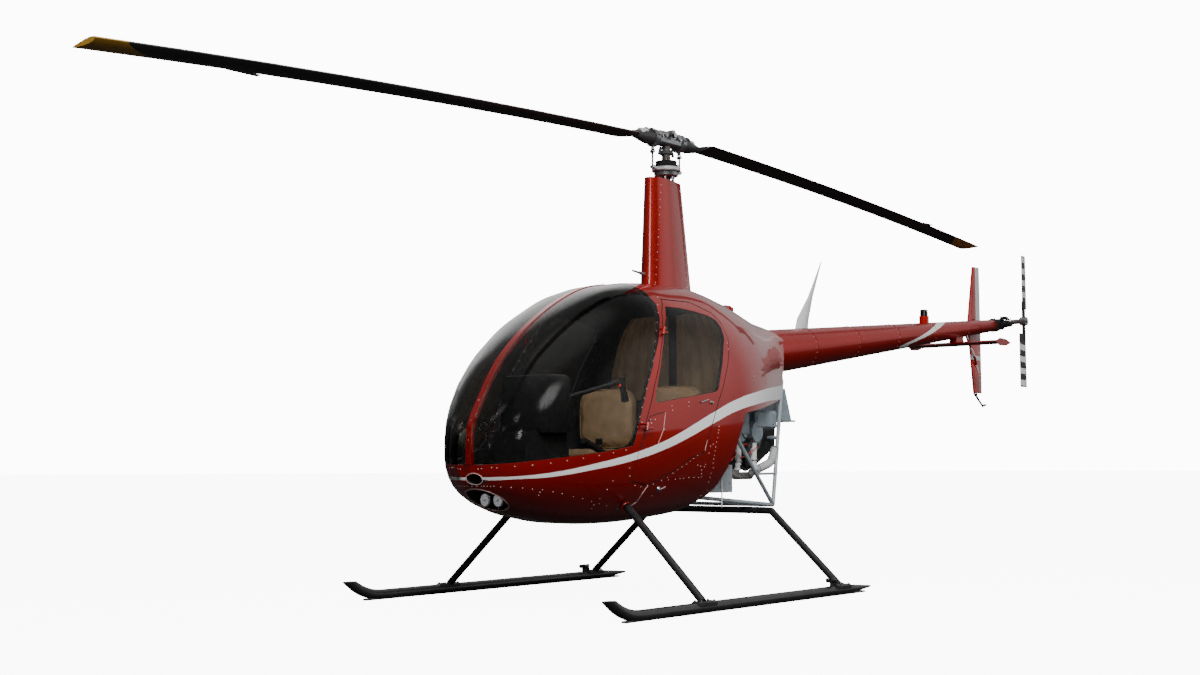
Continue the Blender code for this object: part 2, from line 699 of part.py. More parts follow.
def airfoil(chord, thickness, steps=8):
    """Symmetric section as (aft of the leading edge, height), closed at both ends."""
    rows = []
    for k in range(steps + 1):
        t = 0.5 * (1 - math.cos(math.pi * k / steps))
        half = 5 * thickness * chord * (0.2969 * math.sqrt(t) - 0.1260 * t - 0.3516 * t * t
                                        + 0.2843 * t ** 3 - 0.1036 * t ** 4)
        rows.append((t * chord, half))
    upper = rows[1:-1]
    return [(0.0, 0.0)] + upper + [(chord, 0.0)] + [(a, -h) for a, h in reversed(upper)]


def build_fairing(base):
    rings = []
    for z, leading, trailing, half in FAIRING:
        chord = trailing - leading
        shape = airfoil(chord, 2 * half / chord, 10)
        rings.append([Vector((height, leading + aft, z)) for aft, height in shape])
    fairing = loft("mast_fairing", rings)
    roof = hull_solid("cutter", -FIT)
    carve(fairing, roof)
    bore = (SHAFT_RADIUS + 0.0006) / math.cos(math.pi / 24)
    carve(fairing, turned("cutter", (0, 0, SHAFT_FOOT_Z - 0.02), (0, 0, 1), ((0.0, bore), (0.2, bore)), 24))
    finish(fairing, "red_paint", base)


def boom_solid(name, swell=0.0):
    axis = BOOM_REAR - BOOM_FRONT
    return turned(name, BOOM_FRONT, axis, ((-swell, BOOM_RADIUS[0] + swell),
                                           (axis.length, BOOM_RADIUS[1] + swell)), 24)


def build_boom(base):
    finish(boom_solid("tail_boom"), "red_paint", base)


def fin_solid(name, rows, swell=0.0):
    """Upright fin through rows of (z, leading edge y), with an airfoil section."""
    rings = []
    for z, leading in rows:
        chord = FIN_TRAILING_Y - leading + 2 * swell
        rings.append([Vector((FIN_X + height, leading - swell + aft, z))
                      for aft, height in airfoil(chord, (FIN_THICK + 2 * swell) / chord, 6)])
    return loft(name, rings)


def build_tail(base):
    upper = ((UPPER_FIN[0][0] + FIT / 2, UPPER_FIN[0][1]), UPPER_FIN[1])
    lower = (LOWER_FIN[0], (LOWER_FIN[1][0] - FIT / 2, LOWER_FIN[1][1]))
    for name, rows in (("fin_upper", upper), ("fin_lower", lower)):
        fin = fin_solid(name, rows)
        carve(fin, boom_solid("cutter", FIT))
        finish(fin, "red_paint", base)

    shape = airfoil(STABILISER_CHORD, 0.14, 6)
    rings = [[Vector((x, STABILISER_Y + aft, STABILISER_Z + height)) for aft, height in shape]
             for x in (-STABILISER_HALF_SPAN, STABILISER_HALF_SPAN)]
    wing = loft("stabiliser", rings)
    saddle_y = STABILISER_Y + 0.03
    saddle = box("saddle", (-0.03, saddle_y, STABILISER_Z), (0.03, saddle_y + 0.12, STABILISER_Z + 0.08))
    carve(saddle, boom_solid("cutter", FIT))
    caps = []
    for side in (1, -1):
        x = side * STABILISER_HALF_SPAN
        outline = ((STABILISER_Y - 0.015, STABILISER_Z), (STABILISER_Y + 0.06, STABILISER_Z - 0.03),
                   (STABILISER_Y + 0.16, STABILISER_Z - 0.026), (STABILISER_Y + STABILISER_CHORD + 0.02,
                   STABILISER_Z), (STABILISER_Y + 0.16, STABILISER_Z + 0.026),
                   (STABILISER_Y + 0.06, STABILISER_Z + 0.03))
        near, far = sorted((x - side * 0.002, x + side * 0.004))
        caps.append(side_prism("cap", outline, near, far))
    finish(joined("stabiliser", [wing, saddle] + caps), "red_paint", base)

    guard = tube("tail_guard", ((0.0, 3.80, 1.76), (-0.030, 4.03, 1.56), (FIN_X, 4.14, 1.455)), 0.010, 8)
    carve(guard, boom_solid("cutter", FIT))
    carve(guard, fin_solid("cutter", LOWER_FIN, 2 * FIT))
    keep_largest(guard)
    finish(guard, "white_plastic", base)

    foot_z = LOWER_FIN[0][0]
    stinger = tube("tail_skid", ((FIN_X, 4.105, foot_z - FIT), (FIN_X, 4.105, foot_z - 0.02),
                                 (FIN_X, 4.205, 1.185), (FIN_X, 4.245, 1.195)), 0.0065, 8)
    finish(stinger, "black_paint", base)

    axis = (BOOM_REAR - BOOM_FRONT).normalized()
    case = turned("case", BOOM_REAR + axis * FIT, axis, ((0.0, 0.050), (0.015, 0.054), (0.03, 0.042),
                                                         (0.16, 0.040), (0.175, 0.028)), 16)
    output = turned("output", (-0.035, TAIL_HUB.y, TAIL_HUB.z - 0.012), (1, 0, 0),
                    ((0.0, 0.036), (0.03, 0.046), (0.075, 0.046), (0.09, 0.030), (0.155, 0.024)), 16)
    finish(joined("tail_gearbox", [case, output]), "black_paint", base)

    rings = []
    for leading, trailing, z, half in ANTENNA:
        rings.append([Vector((half * math.sin(2 * math.pi * k / 8),
                              (leading + trailing) / 2 - (trailing - leading) / 2 * math.cos(2 * math.pi * k / 8),
                              z)) for k in range(8)])
    mast = loft("antenna_whip", rings)
    carve(mast, boom_solid("cutter", FIT))
    keep_highest(mast)
    finish(mast, "white_plastic", base)
    beacon = turned("beacon", (0, 3.145, 1.76), (0, 0, 1), ((0.0, 0.037), (0.079, 0.037), (0.0791, 0.030),
                                                            (0.125, 0.029), (0.130, 0.020)), 16)
    carve(beacon, boom_solid("cutter", FIT))
    keep_highest(beacon)
    finish(beacon, "red_paint", base)
    cap = turned("fuel_cap", (0.12, 0.42, 1.58), (0.12, 0.05, 1.0),
                 ((0.0, 0.040), (0.108, 0.040), (0.118, 0.034)), 16)
    carve(cap, hull_solid("cutter", -FIT))
    keep_highest(cap)
    finish(cap, "red_paint", base)


def rotor_blade(name, span_axis, rows, thickness, flat_up, sag=(0.0, 0.0, 0.0)):
    """Blade through rows of (radius, chord, pitch); the leading edge is toward flat_up x span_axis."""
    rings = []
    for radius, chord, pitch in rows:
        ring = []
        drop_here = sag[0] + sag[1] * radius + sag[2] * radius * radius
        for aft, height in airfoil(chord, thickness, 6):
            fore = 0.25 * chord - aft
            leading = flat_up.cross(span_axis).normalized()
            point = span_axis * radius
            point = point + leading * (fore * math.cos(pitch) - height * math.sin(pitch))
            point = point + flat_up * (fore * math.sin(pitch) + height * math.cos(pitch) - drop_here)
            ring.append(point)
        rings.append(ring)
    return loft(name, rings)


def turned_ring(name, start, axis, rows, hole, sides=24):
    """Turned solid with a round hole right through."""
    ring = turned(name, start, axis, rows, sides)
    low = Vector(start) - Vector(axis) * 0.01
    length = rows[-1][0] + 0.02
    return carve(ring, turned("cutter", low, axis, ((0.0, hole), (length, hole)), sides))


def build_main_rotor(base):
    pivot = empty("main_rotor_axis", (0.0, 0.0, HUB_Z), base)
    hub_low = -0.045
    shaft = turned("rotor_shaft", (0, 0, SHAFT_FOOT_Z - HUB_Z), (0, 0, 1),
                   ((0.0, SHAFT_RADIUS), (HUB_Z - SHAFT_FOOT_Z + hub_low - FIT, SHAFT_RADIUS)), 16)
    finish(shaft, "steel", pivot)

    pieces = [bevelled_box("yoke", (-0.042, -0.105, hub_low), (0.042, 0.105, 0.034), 0.010, 1)]
    for y, z, radius, half in ((0.0, 0.026, 0.019, 0.062), (-0.062, 0.010, 0.017, 0.058),
                               (0.062, 0.010, 0.017, 0.058)):
        pieces.append(turned("bolt", (-half, y, z), (1, 0, 0), ((0.0, radius), (2 * half, radius)), 12))
    for side in (1, -1):
        housing = ((0.0, 0.036), (0.028, 0.036), (0.030, 0.054), (0.048, 0.056), (0.066, 0.050))
        pieces.append(turned("housing", (0, side * 0.080, -0.012), (0, side, -0.06), housing, 16))
        pieces.append(tube("horn", ((0, side * 0.118, -0.05), (0, side * LINK_Y, -0.085)), 0.012, 8))
    finish(joined("rotor_hub", pieces), "bare_metal", pivot)

    swash = turned_ring("swashplate_turning", (0, 0, SWASH_Z - HUB_Z), (0, 0, 1),
                        ((0.0, 0.080), (0.006, SWASH_RADIUS), (0.024, SWASH_RADIUS), (0.0241, 0.070),
                         (0.040, 0.074), (0.0401, 0.060), (0.064, 0.066)),
                        (SHAFT_RADIUS + FIT) / math.cos(math.pi / 24))
    pieces = [swash]
    for side in (1, -1):
        pieces.append(tube("arm", ((0, side * 0.070, SWASH_Z + 0.012 - HUB_Z),
                                   (0, side * (LINK_Y + 0.008), SWASH_Z + 0.012 - HUB_Z)), 0.010, 8))
        pieces.append(tube("link", ((0, side * LINK_Y, SWASH_Z + 0.012 - HUB_Z),
                                    (0, side * LINK_Y, -0.0975)), 0.006, 8))
    finish(joined("swashplate_turning", pieces), "bare_metal", pivot)

    for name, side in (("fore", -1), ("aft", 1)):
        span = Vector((0, side, 0))
        up = Vector((0, 0, 1))
        sag = BLADE_SAG[name]
        rows = []
        for k in range(9):
            t = k / 8
            radius = BLADE_ROOT + t * (BLADE_RADIUS - BLADE_ROOT)
            rows.append((radius, BLADE_CHORD, BLADE_PITCH[0] + t * (BLADE_PITCH[1] - BLADE_PITCH[0])))
        blade = rotor_blade("blade", span, rows, BLADE_THICK, up, sag)
        foot = 0.080 + 0.066 * math.cos(0.06) + 0.0012
        drop_root = sag[0] + sag[1] * BLADE_ROOT
        root = tube("root", [span * foot - up * 0.016, span * 0.20 - up * 0.018,
                             span * 0.36 - up * drop_root], [0.042, 0.042, 0.012], 12)
        whole = joined(f"blade_{name}", [blade, root])
        finish(whole, "black_paint", pivot)

    fixed = turned_ring("swashplate_fixed", (0, 0, SWASH_Z - 0.034), (0, 0, 1),
                        ((0.0, 0.050), (0.010, 0.072), (0.0295, 0.074)), SHAFT_RADIUS + 0.0012)
    pieces = [fixed]
    for turn in (0.4, 2.5, 4.6):
        x, y = 0.040 * math.cos(turn), 0.040 * math.sin(turn)
        pieces.append(tube("push_rod", ((x, y, FAIRING[1][0] + FIT), (x, y, SWASH_Z - 0.025)), 0.007, 8))
    finish(joined("swashplate_fixed", pieces), "bare_metal", base)
    return pivot


def build_tail_rotor(base):
    pivot = empty("tail_rotor_axis", TAIL_HUB, base)
    hub = turned("tail_rotor_hub", (-0.1025, 0, 0), (1, 0, 0), ((0.0, 0.020), (0.0775, 0.020),
                                                               (0.0776, 0.035), (0.1275, 0.035)), 16)
    finish(hub, "bare_metal", pivot)
    for name, side in (("up", 1), ("down", -1)):
        span = Vector((0, 0, side))
        rows = [(TAIL_ROOT + t * (TAIL_RADIUS - TAIL_ROOT), TAIL_CHORD, math.radians(6)) for t in (0.0, 1.0)]
        blade = rotor_blade("blade", span, rows, 0.12, Vector((1, 0, 0)))
        root = tube("root", [span * (0.035 * math.cos(math.pi / 16) + FIT), span * 0.16], 0.014, 8)
        finish(joined(f"tail_blade_{name}", [blade, root]), "black_paint", pivot)
    return pivot


# Landing gear

def front_strut(side):
    return ((side * 0.28, -0.866, 0.530), (side * 0.388, -0.866, 0.530),
            (side * (SKID_X - 0.012), FRONT_STRUT_Y, 0.057))


def rear_strut(side):
    return ((side * 0.40, 0.399, 0.466), (side * 0.455, 0.399, 0.464),
            (side * (SKID_X - 0.012), REAR_STRUT_Y, 0.057))


def build_gear(base):
    front = mirrored_points(reversed(front_strut(1))) + [Vector(p) for p in front_strut(1)]
    rear = mirrored_points(reversed(rear_strut(1))) + [Vector(p) for p in rear_strut(1)]
    skid_lines = []
    for side, name in ((1, "port"), (-1, "starboard")):
        x = side * SKID_X
        line = [(x, 0.712, 0.030), (x, 0.462, SKID_Z), (x, TOE_START_Y, SKID_Z)]
        for k in range(1, 6):
            angle = TOE_ANGLE * k / 5
            line.append((x, TOE_START_Y - TOE_RADIUS * math.sin(angle),
                         SKID_Z + TOE_RADIUS * (1 - math.cos(angle))))
        line.append((x, line[-1][1] - 0.06 * math.cos(TOE_ANGLE), line[-1][2] + 0.06 * math.sin(TOE_ANGLE)))
        radii = [0.006] + [SKID_RADIUS] * (len(line) - 1)
        skid = tube(f"skid_{name}", line, radii, 12)
        carve(skid, box("cutter", (x - 0.1, -1.95, TOE_CUT_Z), (x + 0.1, -1.50, 0.30)))
        lug = box("lug", (x - 0.006, 0.285, SKID_Z), (x + 0.006, 0.345, 0.100))
        pin = turned("pin", (x - 0.035, 0.300, 0.085), (1, 0, 0), ((0.0, 0.012), (0.07, 0.012)), 10)
        skid = joined(f"skid_{name}", [skid, lug, pin])
        skid_lines.append((line, radii, skid))
    for name, points in (("cross_tube_front", front), ("cross_tube_rear", rear)):
        made = tube(name, points, STRUT_RADIUS, 12)
        for line, radii, skid in skid_lines:
            wide = [r + FIT for r in radii]
            carve(made, tube("cutter", line, wide, 12))
        finish(made, "black_paint", base)
    for line, radii, skid in skid_lines:
        finish(skid, "black_paint", base)


# Engine bay

def frame_tube(name, start, end, radius=FRAME_RADIUS):
    return tube(name, (start, end), radius, 8)


def along(start, end, z):
    """Point at height z on the line through two points."""
    t = (z - start[2]) / (end[2] - start[2])
    return tuple(a + t * (b - a) for a, b in zip(start, end))


def build_frame(base):
    """Welded tube frame behind the hull, carried by the walls and holding the boom."""
    pieces = []
    for side in (1, -1):
        def at(point):
            return (side * point[0], point[1], point[2])

        pieces.append(tube("upright", (at(FRAME_LOW_REAR), at(FRAME_HIGH_REAR), at(FRAME_TOP)), FRAME_RADIUS, 8))
        pieces.append(frame_tube("diagonal", at(FRAME_LOW_REAR), at(FRAME_HIGH_FRONT)))
        pieces.append(frame_tube("rail", at(FRAME_LOW_REAR), at(FRAME_LOW_FRONT)))
        brace = [at(along(FRAME_LOW_REAR, end, FRAME_BRACE_Z)) for end in (FRAME_HIGH_REAR, FRAME_HIGH_FRONT)]
        pieces.append(frame_tube("brace", *brace, 0.008))
    for point in (FRAME_LOW_REAR, along(FRAME_LOW_REAR, FRAME_HIGH_REAR, SCROLL_BAR_Z), FRAME_HIGH_REAR):
        mirrored = (-point[0], point[1], point[2])
        pieces.append(frame_tube("cross", mirrored, point))
    frame = joined("engine_frame", pieces)
    carve(frame, boom_solid("cutter", FIT))
    carve(frame, side_prism("cutter", grown(WALL_OUTLINE, FIT), -1.0, 1.0))
    finish(frame, "grey_frame", base)


def build_engine(base):
    build_frame(base)
    mount_front = BULKHEAD_Y + WALL + FIT
    block = bevelled_box("block", (-ENGINE_HALF_WIDTH, ENGINE_FRONT_Y, ENGINE_LOW_Z),
                         (ENGINE_HALF_WIDTH, ENGINE_REAR_Y, ENGINE_HIGH_Z), 0.03)
    pieces = [block]
    for x in (-0.08, 0.08):
        pieces.append(turned("mount", (x, mount_front, 0.88), (0, 1, 0), ((0.0, 0.025), (0.38, 0.025)), 10))
    finish(joined("engine_block", pieces), "dark_engine", base)

    for side, name in ((1, "port"), (-1, "starboard")):
        build_cylinders(base, side, name)
        build_exhaust(base, side, name)

    bar_y = along(FRAME_LOW_REAR, FRAME_HIGH_REAR, SCROLL_BAR_Z)[1]
    boss = bar_y - FRAME_RADIUS * math.cos(math.pi / 8) - ENGINE_REAR_Y - 2 * FIT
    ring = turned("ring", (0, ENGINE_REAR_Y + FIT, SCROLL_Z), (0, 1, 0),
                  ((0.0, 0.190), (0.02, 0.235), (0.10, 0.235), (0.19, 0.185), (SCROLL_REAR, 0.145),
                   (SCROLL_REAR + 0.0001, 0.125), (SCROLL_REAR - 0.04, 0.115), (SCROLL_REAR - 0.0401, 0.055),
                   (boss, 0.055)), 24)
    lobe = bevelled_box("lobe", (0.05, 0.60, 1.03), (0.170, 1.00, 1.21), 0.01, 1)
    duct = loft("duct", [[Vector((x, y, z)) for x, y in ((x0, y0), (x1, y0), (x1, y1), (x0, y1))]
                         for z, x0, x1, y0, y1 in ((1.003, 0.045, 0.178, 0.940, 1.095),
                                                   (1.016, 0.045, 0.178, 0.940, 1.095),
                                                   (1.0161, 0.055, 0.170, 0.950, 1.060),
                                                   (1.215, 0.065, 0.150, 0.950, 1.022))])
    finish(joined("fan_scroll", [ring, lobe, duct]), "dark_engine", base)

    low = FRAME_LOW_FRONT[2] + FRAME_RADIUS + 0.004
    front = BULKHEAD_Y + WALL + FIT
    tray = [box("floor", (-TRAY_X, front, low), (TRAY_X, TRAY_REAR_Y, low + 0.016))]
    for x in (-TRAY_X, TRAY_X - 0.016):
        tray.append(box("wall", (x, front, low), (x + 0.016, TRAY_REAR_Y, 0.735)))
    finish(joined("firewall_box", tray), "grey_frame", base)


def build_cylinders(base, side, name):
    """Two finned cylinders and the cooling shrouds over them."""
    inner_x = ENGINE_HALF_WIDTH + FIT
    pieces = []
    for y in CYLINDER_Y:
        rows = [(0.0, 0.05)]
        for k in range(6):
            start = 0.015 + 0.024 * k
            rows += [(start, 0.05), (start + 0.001, CYLINDER_RADIUS), (start + 0.009, CYLINDER_RADIUS),
                     (start + 0.010, 0.05)]
        rows += [(0.165, 0.05), (0.170, 0.065), (0.210, 0.060)]
        pieces.append(turned("cylinder", (side * inner_x, y, CYLINDER_Z), (side, 0, 0), rows, 12))
    near, far = sorted((side * inner_x, side * (inner_x + 0.014)))
    pieces.append(box("base", (near, CYLINDER_Y[0] - 0.07, CYLINDER_Z - 0.06),
                      (far, CYLINDER_Y[1] + 0.07, CYLINDER_Z + 0.06)))
    for x_low, y_low, y_high, z_low, z_high in ((inner_x + 0.02, 0.080, 0.355, 0.905, 1.055),
                                                (0.250, 0.420, 0.645, 0.950, 1.060)):
        near, far = sorted((side * x_low, side * SHROUD_X))
        pieces.append(bevelled_box("shroud", (near, y_low, z_low), (far, y_high, z_high), 0.014, 1))
    finish(joined(f"engine_cylinders_{name}", pieces), "grey_frame", base)


def build_exhaust(base, side, name):
    """Two risers under the cylinder heads and the pipe that collects them."""
    x = side * PIPE_X
    low_x = side * (PIPE_X - 0.03)
    runs = []
    for y in CYLINDER_Y:
        runs.append(tube("riser", ((x, y, CYLINDER_Z - 0.045), (x, y, PIPE_LOW_Z + 0.05),
                                   (low_x, y, PIPE_LOW_Z)), 0.019, 8))
    runs.append(tube("collector", ((low_x, CYLINDER_Y[0] - 0.045, PIPE_LOW_Z + 0.02),
                                   (low_x, CYLINDER_Y[0] + 0.01, PIPE_LOW_Z),
                                   (low_x, CYLINDER_Y[1], PIPE_LOW_Z),
                                   (low_x - side * 0.05, CYLINDER_Y[1] + 0.12, PIPE_LOW_Z + 0.04)), 0.024, 8))
    exhaust = joined(f"exhaust_{name}", runs)
    for y in CYLINDER_Y:
        carve(exhaust, turned("cutter", (side * 0.10, y, CYLINDER_Z), (side, 0, 0),
                              ((0.0, 0.0655), (0.30, 0.0655)), 12))
    keep_only(exhaust, len)
    finish(exhaust, "steel", base)


def build():
    clear_scene()
    base = empty("airframe_base", (0.0, MAST_Y, 0.0))
    doors = {}
    for name, side in (("port", 1), ("starboard", -1)):
        middle = (HINGE_LOW + HINGE_HIGH) / 2
        doors[name] = empty(f"door_{name}_hinge", (side * middle.x, middle.y, middle.z), base)
    build_cabin(base, doors)
    build_inside(base)
    build_controls(base)
    build_fairing(base)
    build_boom(base)
    build_tail(base)
    build_engine(base)
    build_gear(base)
    build_main_rotor(base)
    build_tail_rotor(base)


build()
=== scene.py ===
# Looks of a light two-seat helicopter, dressed over its fixed frame.
# Metres, +Z up, nose at -Y, port side at +X.
import json
import math

import bmesh
import bpy
import numpy as np
from mathutils import Matrix, Vector
from mathutils.bvhtree import BVHTree

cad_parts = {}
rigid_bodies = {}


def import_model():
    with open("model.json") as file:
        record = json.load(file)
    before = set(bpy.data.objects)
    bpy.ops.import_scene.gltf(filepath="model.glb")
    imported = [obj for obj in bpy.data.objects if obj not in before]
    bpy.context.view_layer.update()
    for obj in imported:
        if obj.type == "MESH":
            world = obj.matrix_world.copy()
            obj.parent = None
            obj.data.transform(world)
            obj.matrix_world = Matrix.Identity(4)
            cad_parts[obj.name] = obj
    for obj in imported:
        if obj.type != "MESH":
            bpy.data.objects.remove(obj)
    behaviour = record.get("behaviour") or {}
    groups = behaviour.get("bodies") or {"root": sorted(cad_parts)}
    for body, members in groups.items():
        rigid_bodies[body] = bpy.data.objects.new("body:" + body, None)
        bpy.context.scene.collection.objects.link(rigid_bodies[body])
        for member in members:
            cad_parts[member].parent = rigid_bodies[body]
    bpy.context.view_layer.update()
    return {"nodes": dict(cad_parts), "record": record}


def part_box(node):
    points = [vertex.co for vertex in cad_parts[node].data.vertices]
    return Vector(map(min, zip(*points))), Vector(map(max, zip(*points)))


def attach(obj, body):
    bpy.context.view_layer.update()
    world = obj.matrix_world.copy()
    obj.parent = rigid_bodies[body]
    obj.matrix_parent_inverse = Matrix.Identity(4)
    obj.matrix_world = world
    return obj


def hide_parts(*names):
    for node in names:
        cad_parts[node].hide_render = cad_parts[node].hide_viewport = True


for thing in list(bpy.data.objects):
    bpy.data.objects.remove(thing)

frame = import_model()
NODES = frame["nodes"]
BODY_OF = {}
for body_name, members in frame["record"]["behaviour"]["bodies"].items():
    for member in members:
        BODY_OF[member] = body_name

# The mast axis stands at this Y; heights and widths need no shift
MAST_Y = -0.3263
TAIL_HUB = Vector((0.223, 4.388 + MAST_Y, 1.871))

# Tail boom, a cone between two points measured from the mast axis, with its radius at each end
BOOM_FRONT = (0, 0.86, 1.436)
BOOM_REAR = (0, 4.270, 1.842)
BOOM_RADIUS = (0.150, 0.048)
BOOM_AXIS = Vector([rear - front for front, rear in zip(BOOM_FRONT, BOOM_REAR)]).normalized()

# Axes of a block that stands square
UPRIGHT = ((1, 0, 0), (0, 1, 0), (0, 0, 1))

# Camera of the photograph, for an image of 1200 by 675
EYE = Vector((5.4815, -7.3453, 0.7646))
YAW = math.radians(40.5664)
PITCH = math.radians(4.6735)
ROLL = math.radians(-0.2137)
FOCAL = 1501.8
IMAGE = (1200, 675)
SENSOR = 36.0


def at(x, y, z):
    """A point measured from the mast axis, in the part's frame."""
    return Vector((x, y + MAST_Y, z))


def camera_axes():
    ahead = Vector((-math.sin(YAW) * math.cos(PITCH), math.cos(YAW) * math.cos(PITCH), math.sin(PITCH)))
    right = ahead.cross(Vector((0, 0, 1))).normalized()
    above = right.cross(ahead)
    turned_right = right * math.cos(ROLL) + above * math.sin(ROLL)
    turned_above = -right * math.sin(ROLL) + above * math.cos(ROLL)
    return turned_right, turned_above, ahead


def new_object(name, data):
    """An object in the scene."""
    holder = bpy.data.objects.new(name, data)
    bpy.context.scene.collection.objects.link(holder)
    return holder


def build_camera():
    right, above, ahead = camera_axes()
    data = bpy.data.cameras.new("camera")
    data.sensor_width = SENSOR
    data.lens = FOCAL * SENSOR / IMAGE[0]
    data.clip_end = 200
    camera = new_object("camera", data)
    matrix = Matrix((right, above, -ahead)).transposed().to_4x4()
    matrix.translation = EYE
    camera.matrix_world = matrix
    bpy.context.scene.camera = camera


# Node helpers


class Shade:
    """A material's node tree with short ways to add and join nodes."""

    def __init__(self, name):
        self.material = bpy.data.materials.new(name)
        self.material.use_nodes = True
        self.tree = self.material.node_tree
        self.tree.nodes.clear()
        self.out = self.add("ShaderNodeOutputMaterial")
        self.main = self.add("ShaderNodeBsdfPrincipled")
        self.join(self.main.outputs[0], self.out.inputs[0])
        self.place = None

    def add(self, kind, **settings):
        node = self.tree.nodes.new(kind)
        for key, value in settings.items():
            setattr(node, key, value)
        return node

    def join(self, source, target):
        self.tree.links.new(source, target)

    def set(self, **values):
        for key, value in values.items():
            socket = self.main.inputs[key.replace("_", " ")]
            socket.default_value = (*value, 1) if isinstance(value, tuple) else value

    def position(self):
        if self.place is None:
            self.place = self.add("ShaderNodeTexCoord").outputs["Object"]
        return self.place

    def noise(self, scale, detail, roughness=0.5, stretch=None):
        node = self.add("ShaderNodeTexNoise")
        node.inputs["Scale"].default_value = scale
        node.inputs["Detail"].default_value = detail
        node.inputs["Roughness"].default_value = roughness
        source = self.position()
        if stretch:
            mapping = self.add("ShaderNodeMapping")
            mapping.inputs["Scale"].default_value = stretch
            self.join(source, mapping.inputs[0])
            source = mapping.outputs[0]
        self.join(source, node.inputs["Vector"])
        return node.outputs["Fac"]

    def cells(self, scale):
        node = self.add("ShaderNodeTexVoronoi", feature="F1")
        node.inputs["Scale"].default_value = scale
        self.join(self.position(), node.inputs["Vector"])
        return node.outputs["Distance"]

    def ramp(self, source, low, high, start, end):
        node = self.add("ShaderNodeMapRange")
        for key, value in (("From Min", low), ("From Max", high), ("To Min", start), ("To Max", end)):
            node.inputs[key].default_value = value
        self.join(source, node.inputs["Value"])
        return node.outputs[0]

    def math(self, kind, first, second=None):
        node = self.add("ShaderNodeMath", operation=kind)
        for socket, value in zip(node.inputs, (first, second)):
            if value is None:
                continue
            if isinstance(value, (int, float)):
                socket.default_value = value
            else:
                self.join(value, socket)
        return node.outputs[0]

    def split(self):
        node = self.add("ShaderNodeSeparateXYZ")
        self.join(self.position(), node.inputs[0])
        return node.outputs

    def mix(self, mask, first, second):
        node = self.add("ShaderNodeMix", data_type="RGBA")
        self.join(mask, node.inputs[0])
        for socket, value in ((node.inputs[6], first), (node.inputs[7], second)):
            if isinstance(value, tuple):
                socket.default_value = (*value, 1)
            else:
                self.join(value, socket)
        return node.outputs[2]

    def curve(self, source, points):
        """A smooth curve through the points; x and y stay in 0 to 1."""
        node = self.add("ShaderNodeFloatCurve")
        line = node.mapping.curves[0]
        while len(line.points) < len(points):
            line.points.new(0.5, 0.5)
        for spot, (x, y) in zip(line.points, points):
            spot.location = (x, y)
        node.mapping.update()
        self.join(source, node.inputs["Value"])
        return node.outputs[0]

    def bump(self, height, strength, distance):
        node = self.add("ShaderNodeBump")
        node.inputs["Strength"].default_value = strength
        node.inputs["Distance"].default_value = distance
        self.join(height, node.inputs["Height"])
        self.join(node.outputs[0], self.main.inputs["Normal"])

    def colour(self, value):
        self.join(value, self.main.inputs["Base Color"])

    def rough(self, value):
        self.join(value, self.main.inputs["Roughness"])


# Looking through the photograph's camera at the frame

RIGHT, ABOVE, AHEAD = camera_axes()
TREES = {}


def tree_of(names):
    key = tuple(sorted(names))
    if key not in TREES:
        points = []
        faces = []
        for name in key:
            mesh = NODES[name].data
            start = len(points)
            points.extend(v.co.copy() for v in mesh.vertices)
            faces.extend([start + i for i in p.vertices] for p in mesh.polygons)
        TREES[key] = BVHTree.FromPolygons(points, faces)
    return TREES[key]


def cast(start, ray, names):
    """The first point of those nodes met from a start, and its outward normal, or None."""
    point, normal, _, _ = tree_of(names).ray_cast(start, ray)
    if point is None:
        return None
    return point, (normal if normal.dot(ray) < 0 else -normal)


def touch(start, towards, *names):
    return cast(Vector(start), Vector(towards).normalized(), names)


def ray_of(px, py):
    """Direction in which the camera sees a pixel of the photograph."""
    x = (px - IMAGE[0] / 2) / FOCAL
    y = (IMAGE[1] / 2 - py) / FOCAL
    return (RIGHT * x + ABOVE * y + AHEAD).normalized()


def seen(px, py, *names):
    return cast(EYE, ray_of(px, py), names)


def on_plane(px, py, axis, value):
    """Where a pixel's ray meets the plane on which one coordinate has that value."""
    ray = ray_of(px, py)
    return EYE + ray * ((value - EYE[axis]) / ray[axis])


# Colours, as linear light

RED = (0.54, 0.008, 0.0035)
RED_DEEP = (0.27, 0.003, 0.0015)
WHITE = (0.93, 0.93, 0.92)

HULL_SKIN = ("hull_lower", "door_port", "cowl_aft", "cabin_frame")
# Centre of the white side stripe on the photograph, and half its thickness there in metres
STRIPE = (
    (449.5, 477.9, 0.0075), (460.0, 478.7, 0.0075), (500.0, 478.6, 0.0085), (548.0, 475.2, 0.011),
    (595.0, 466.6, 0.015), (633.0, 457.0, 0.019), (666.0, 444.6, 0.023), (690.0, 432.0, 0.026),
    (713.0, 418.2, 0.029), (737.0, 405.0, 0.032), (760.0, 397.0, 0.036), (778.0, 393.0, 0.041),
)
SPAN_Y = (-2.05, 0.75)
SPAN_Z = (0.5, 1.5)


def to_unit(value, span):
    return (value - span[0]) / (span[1] - span[0])


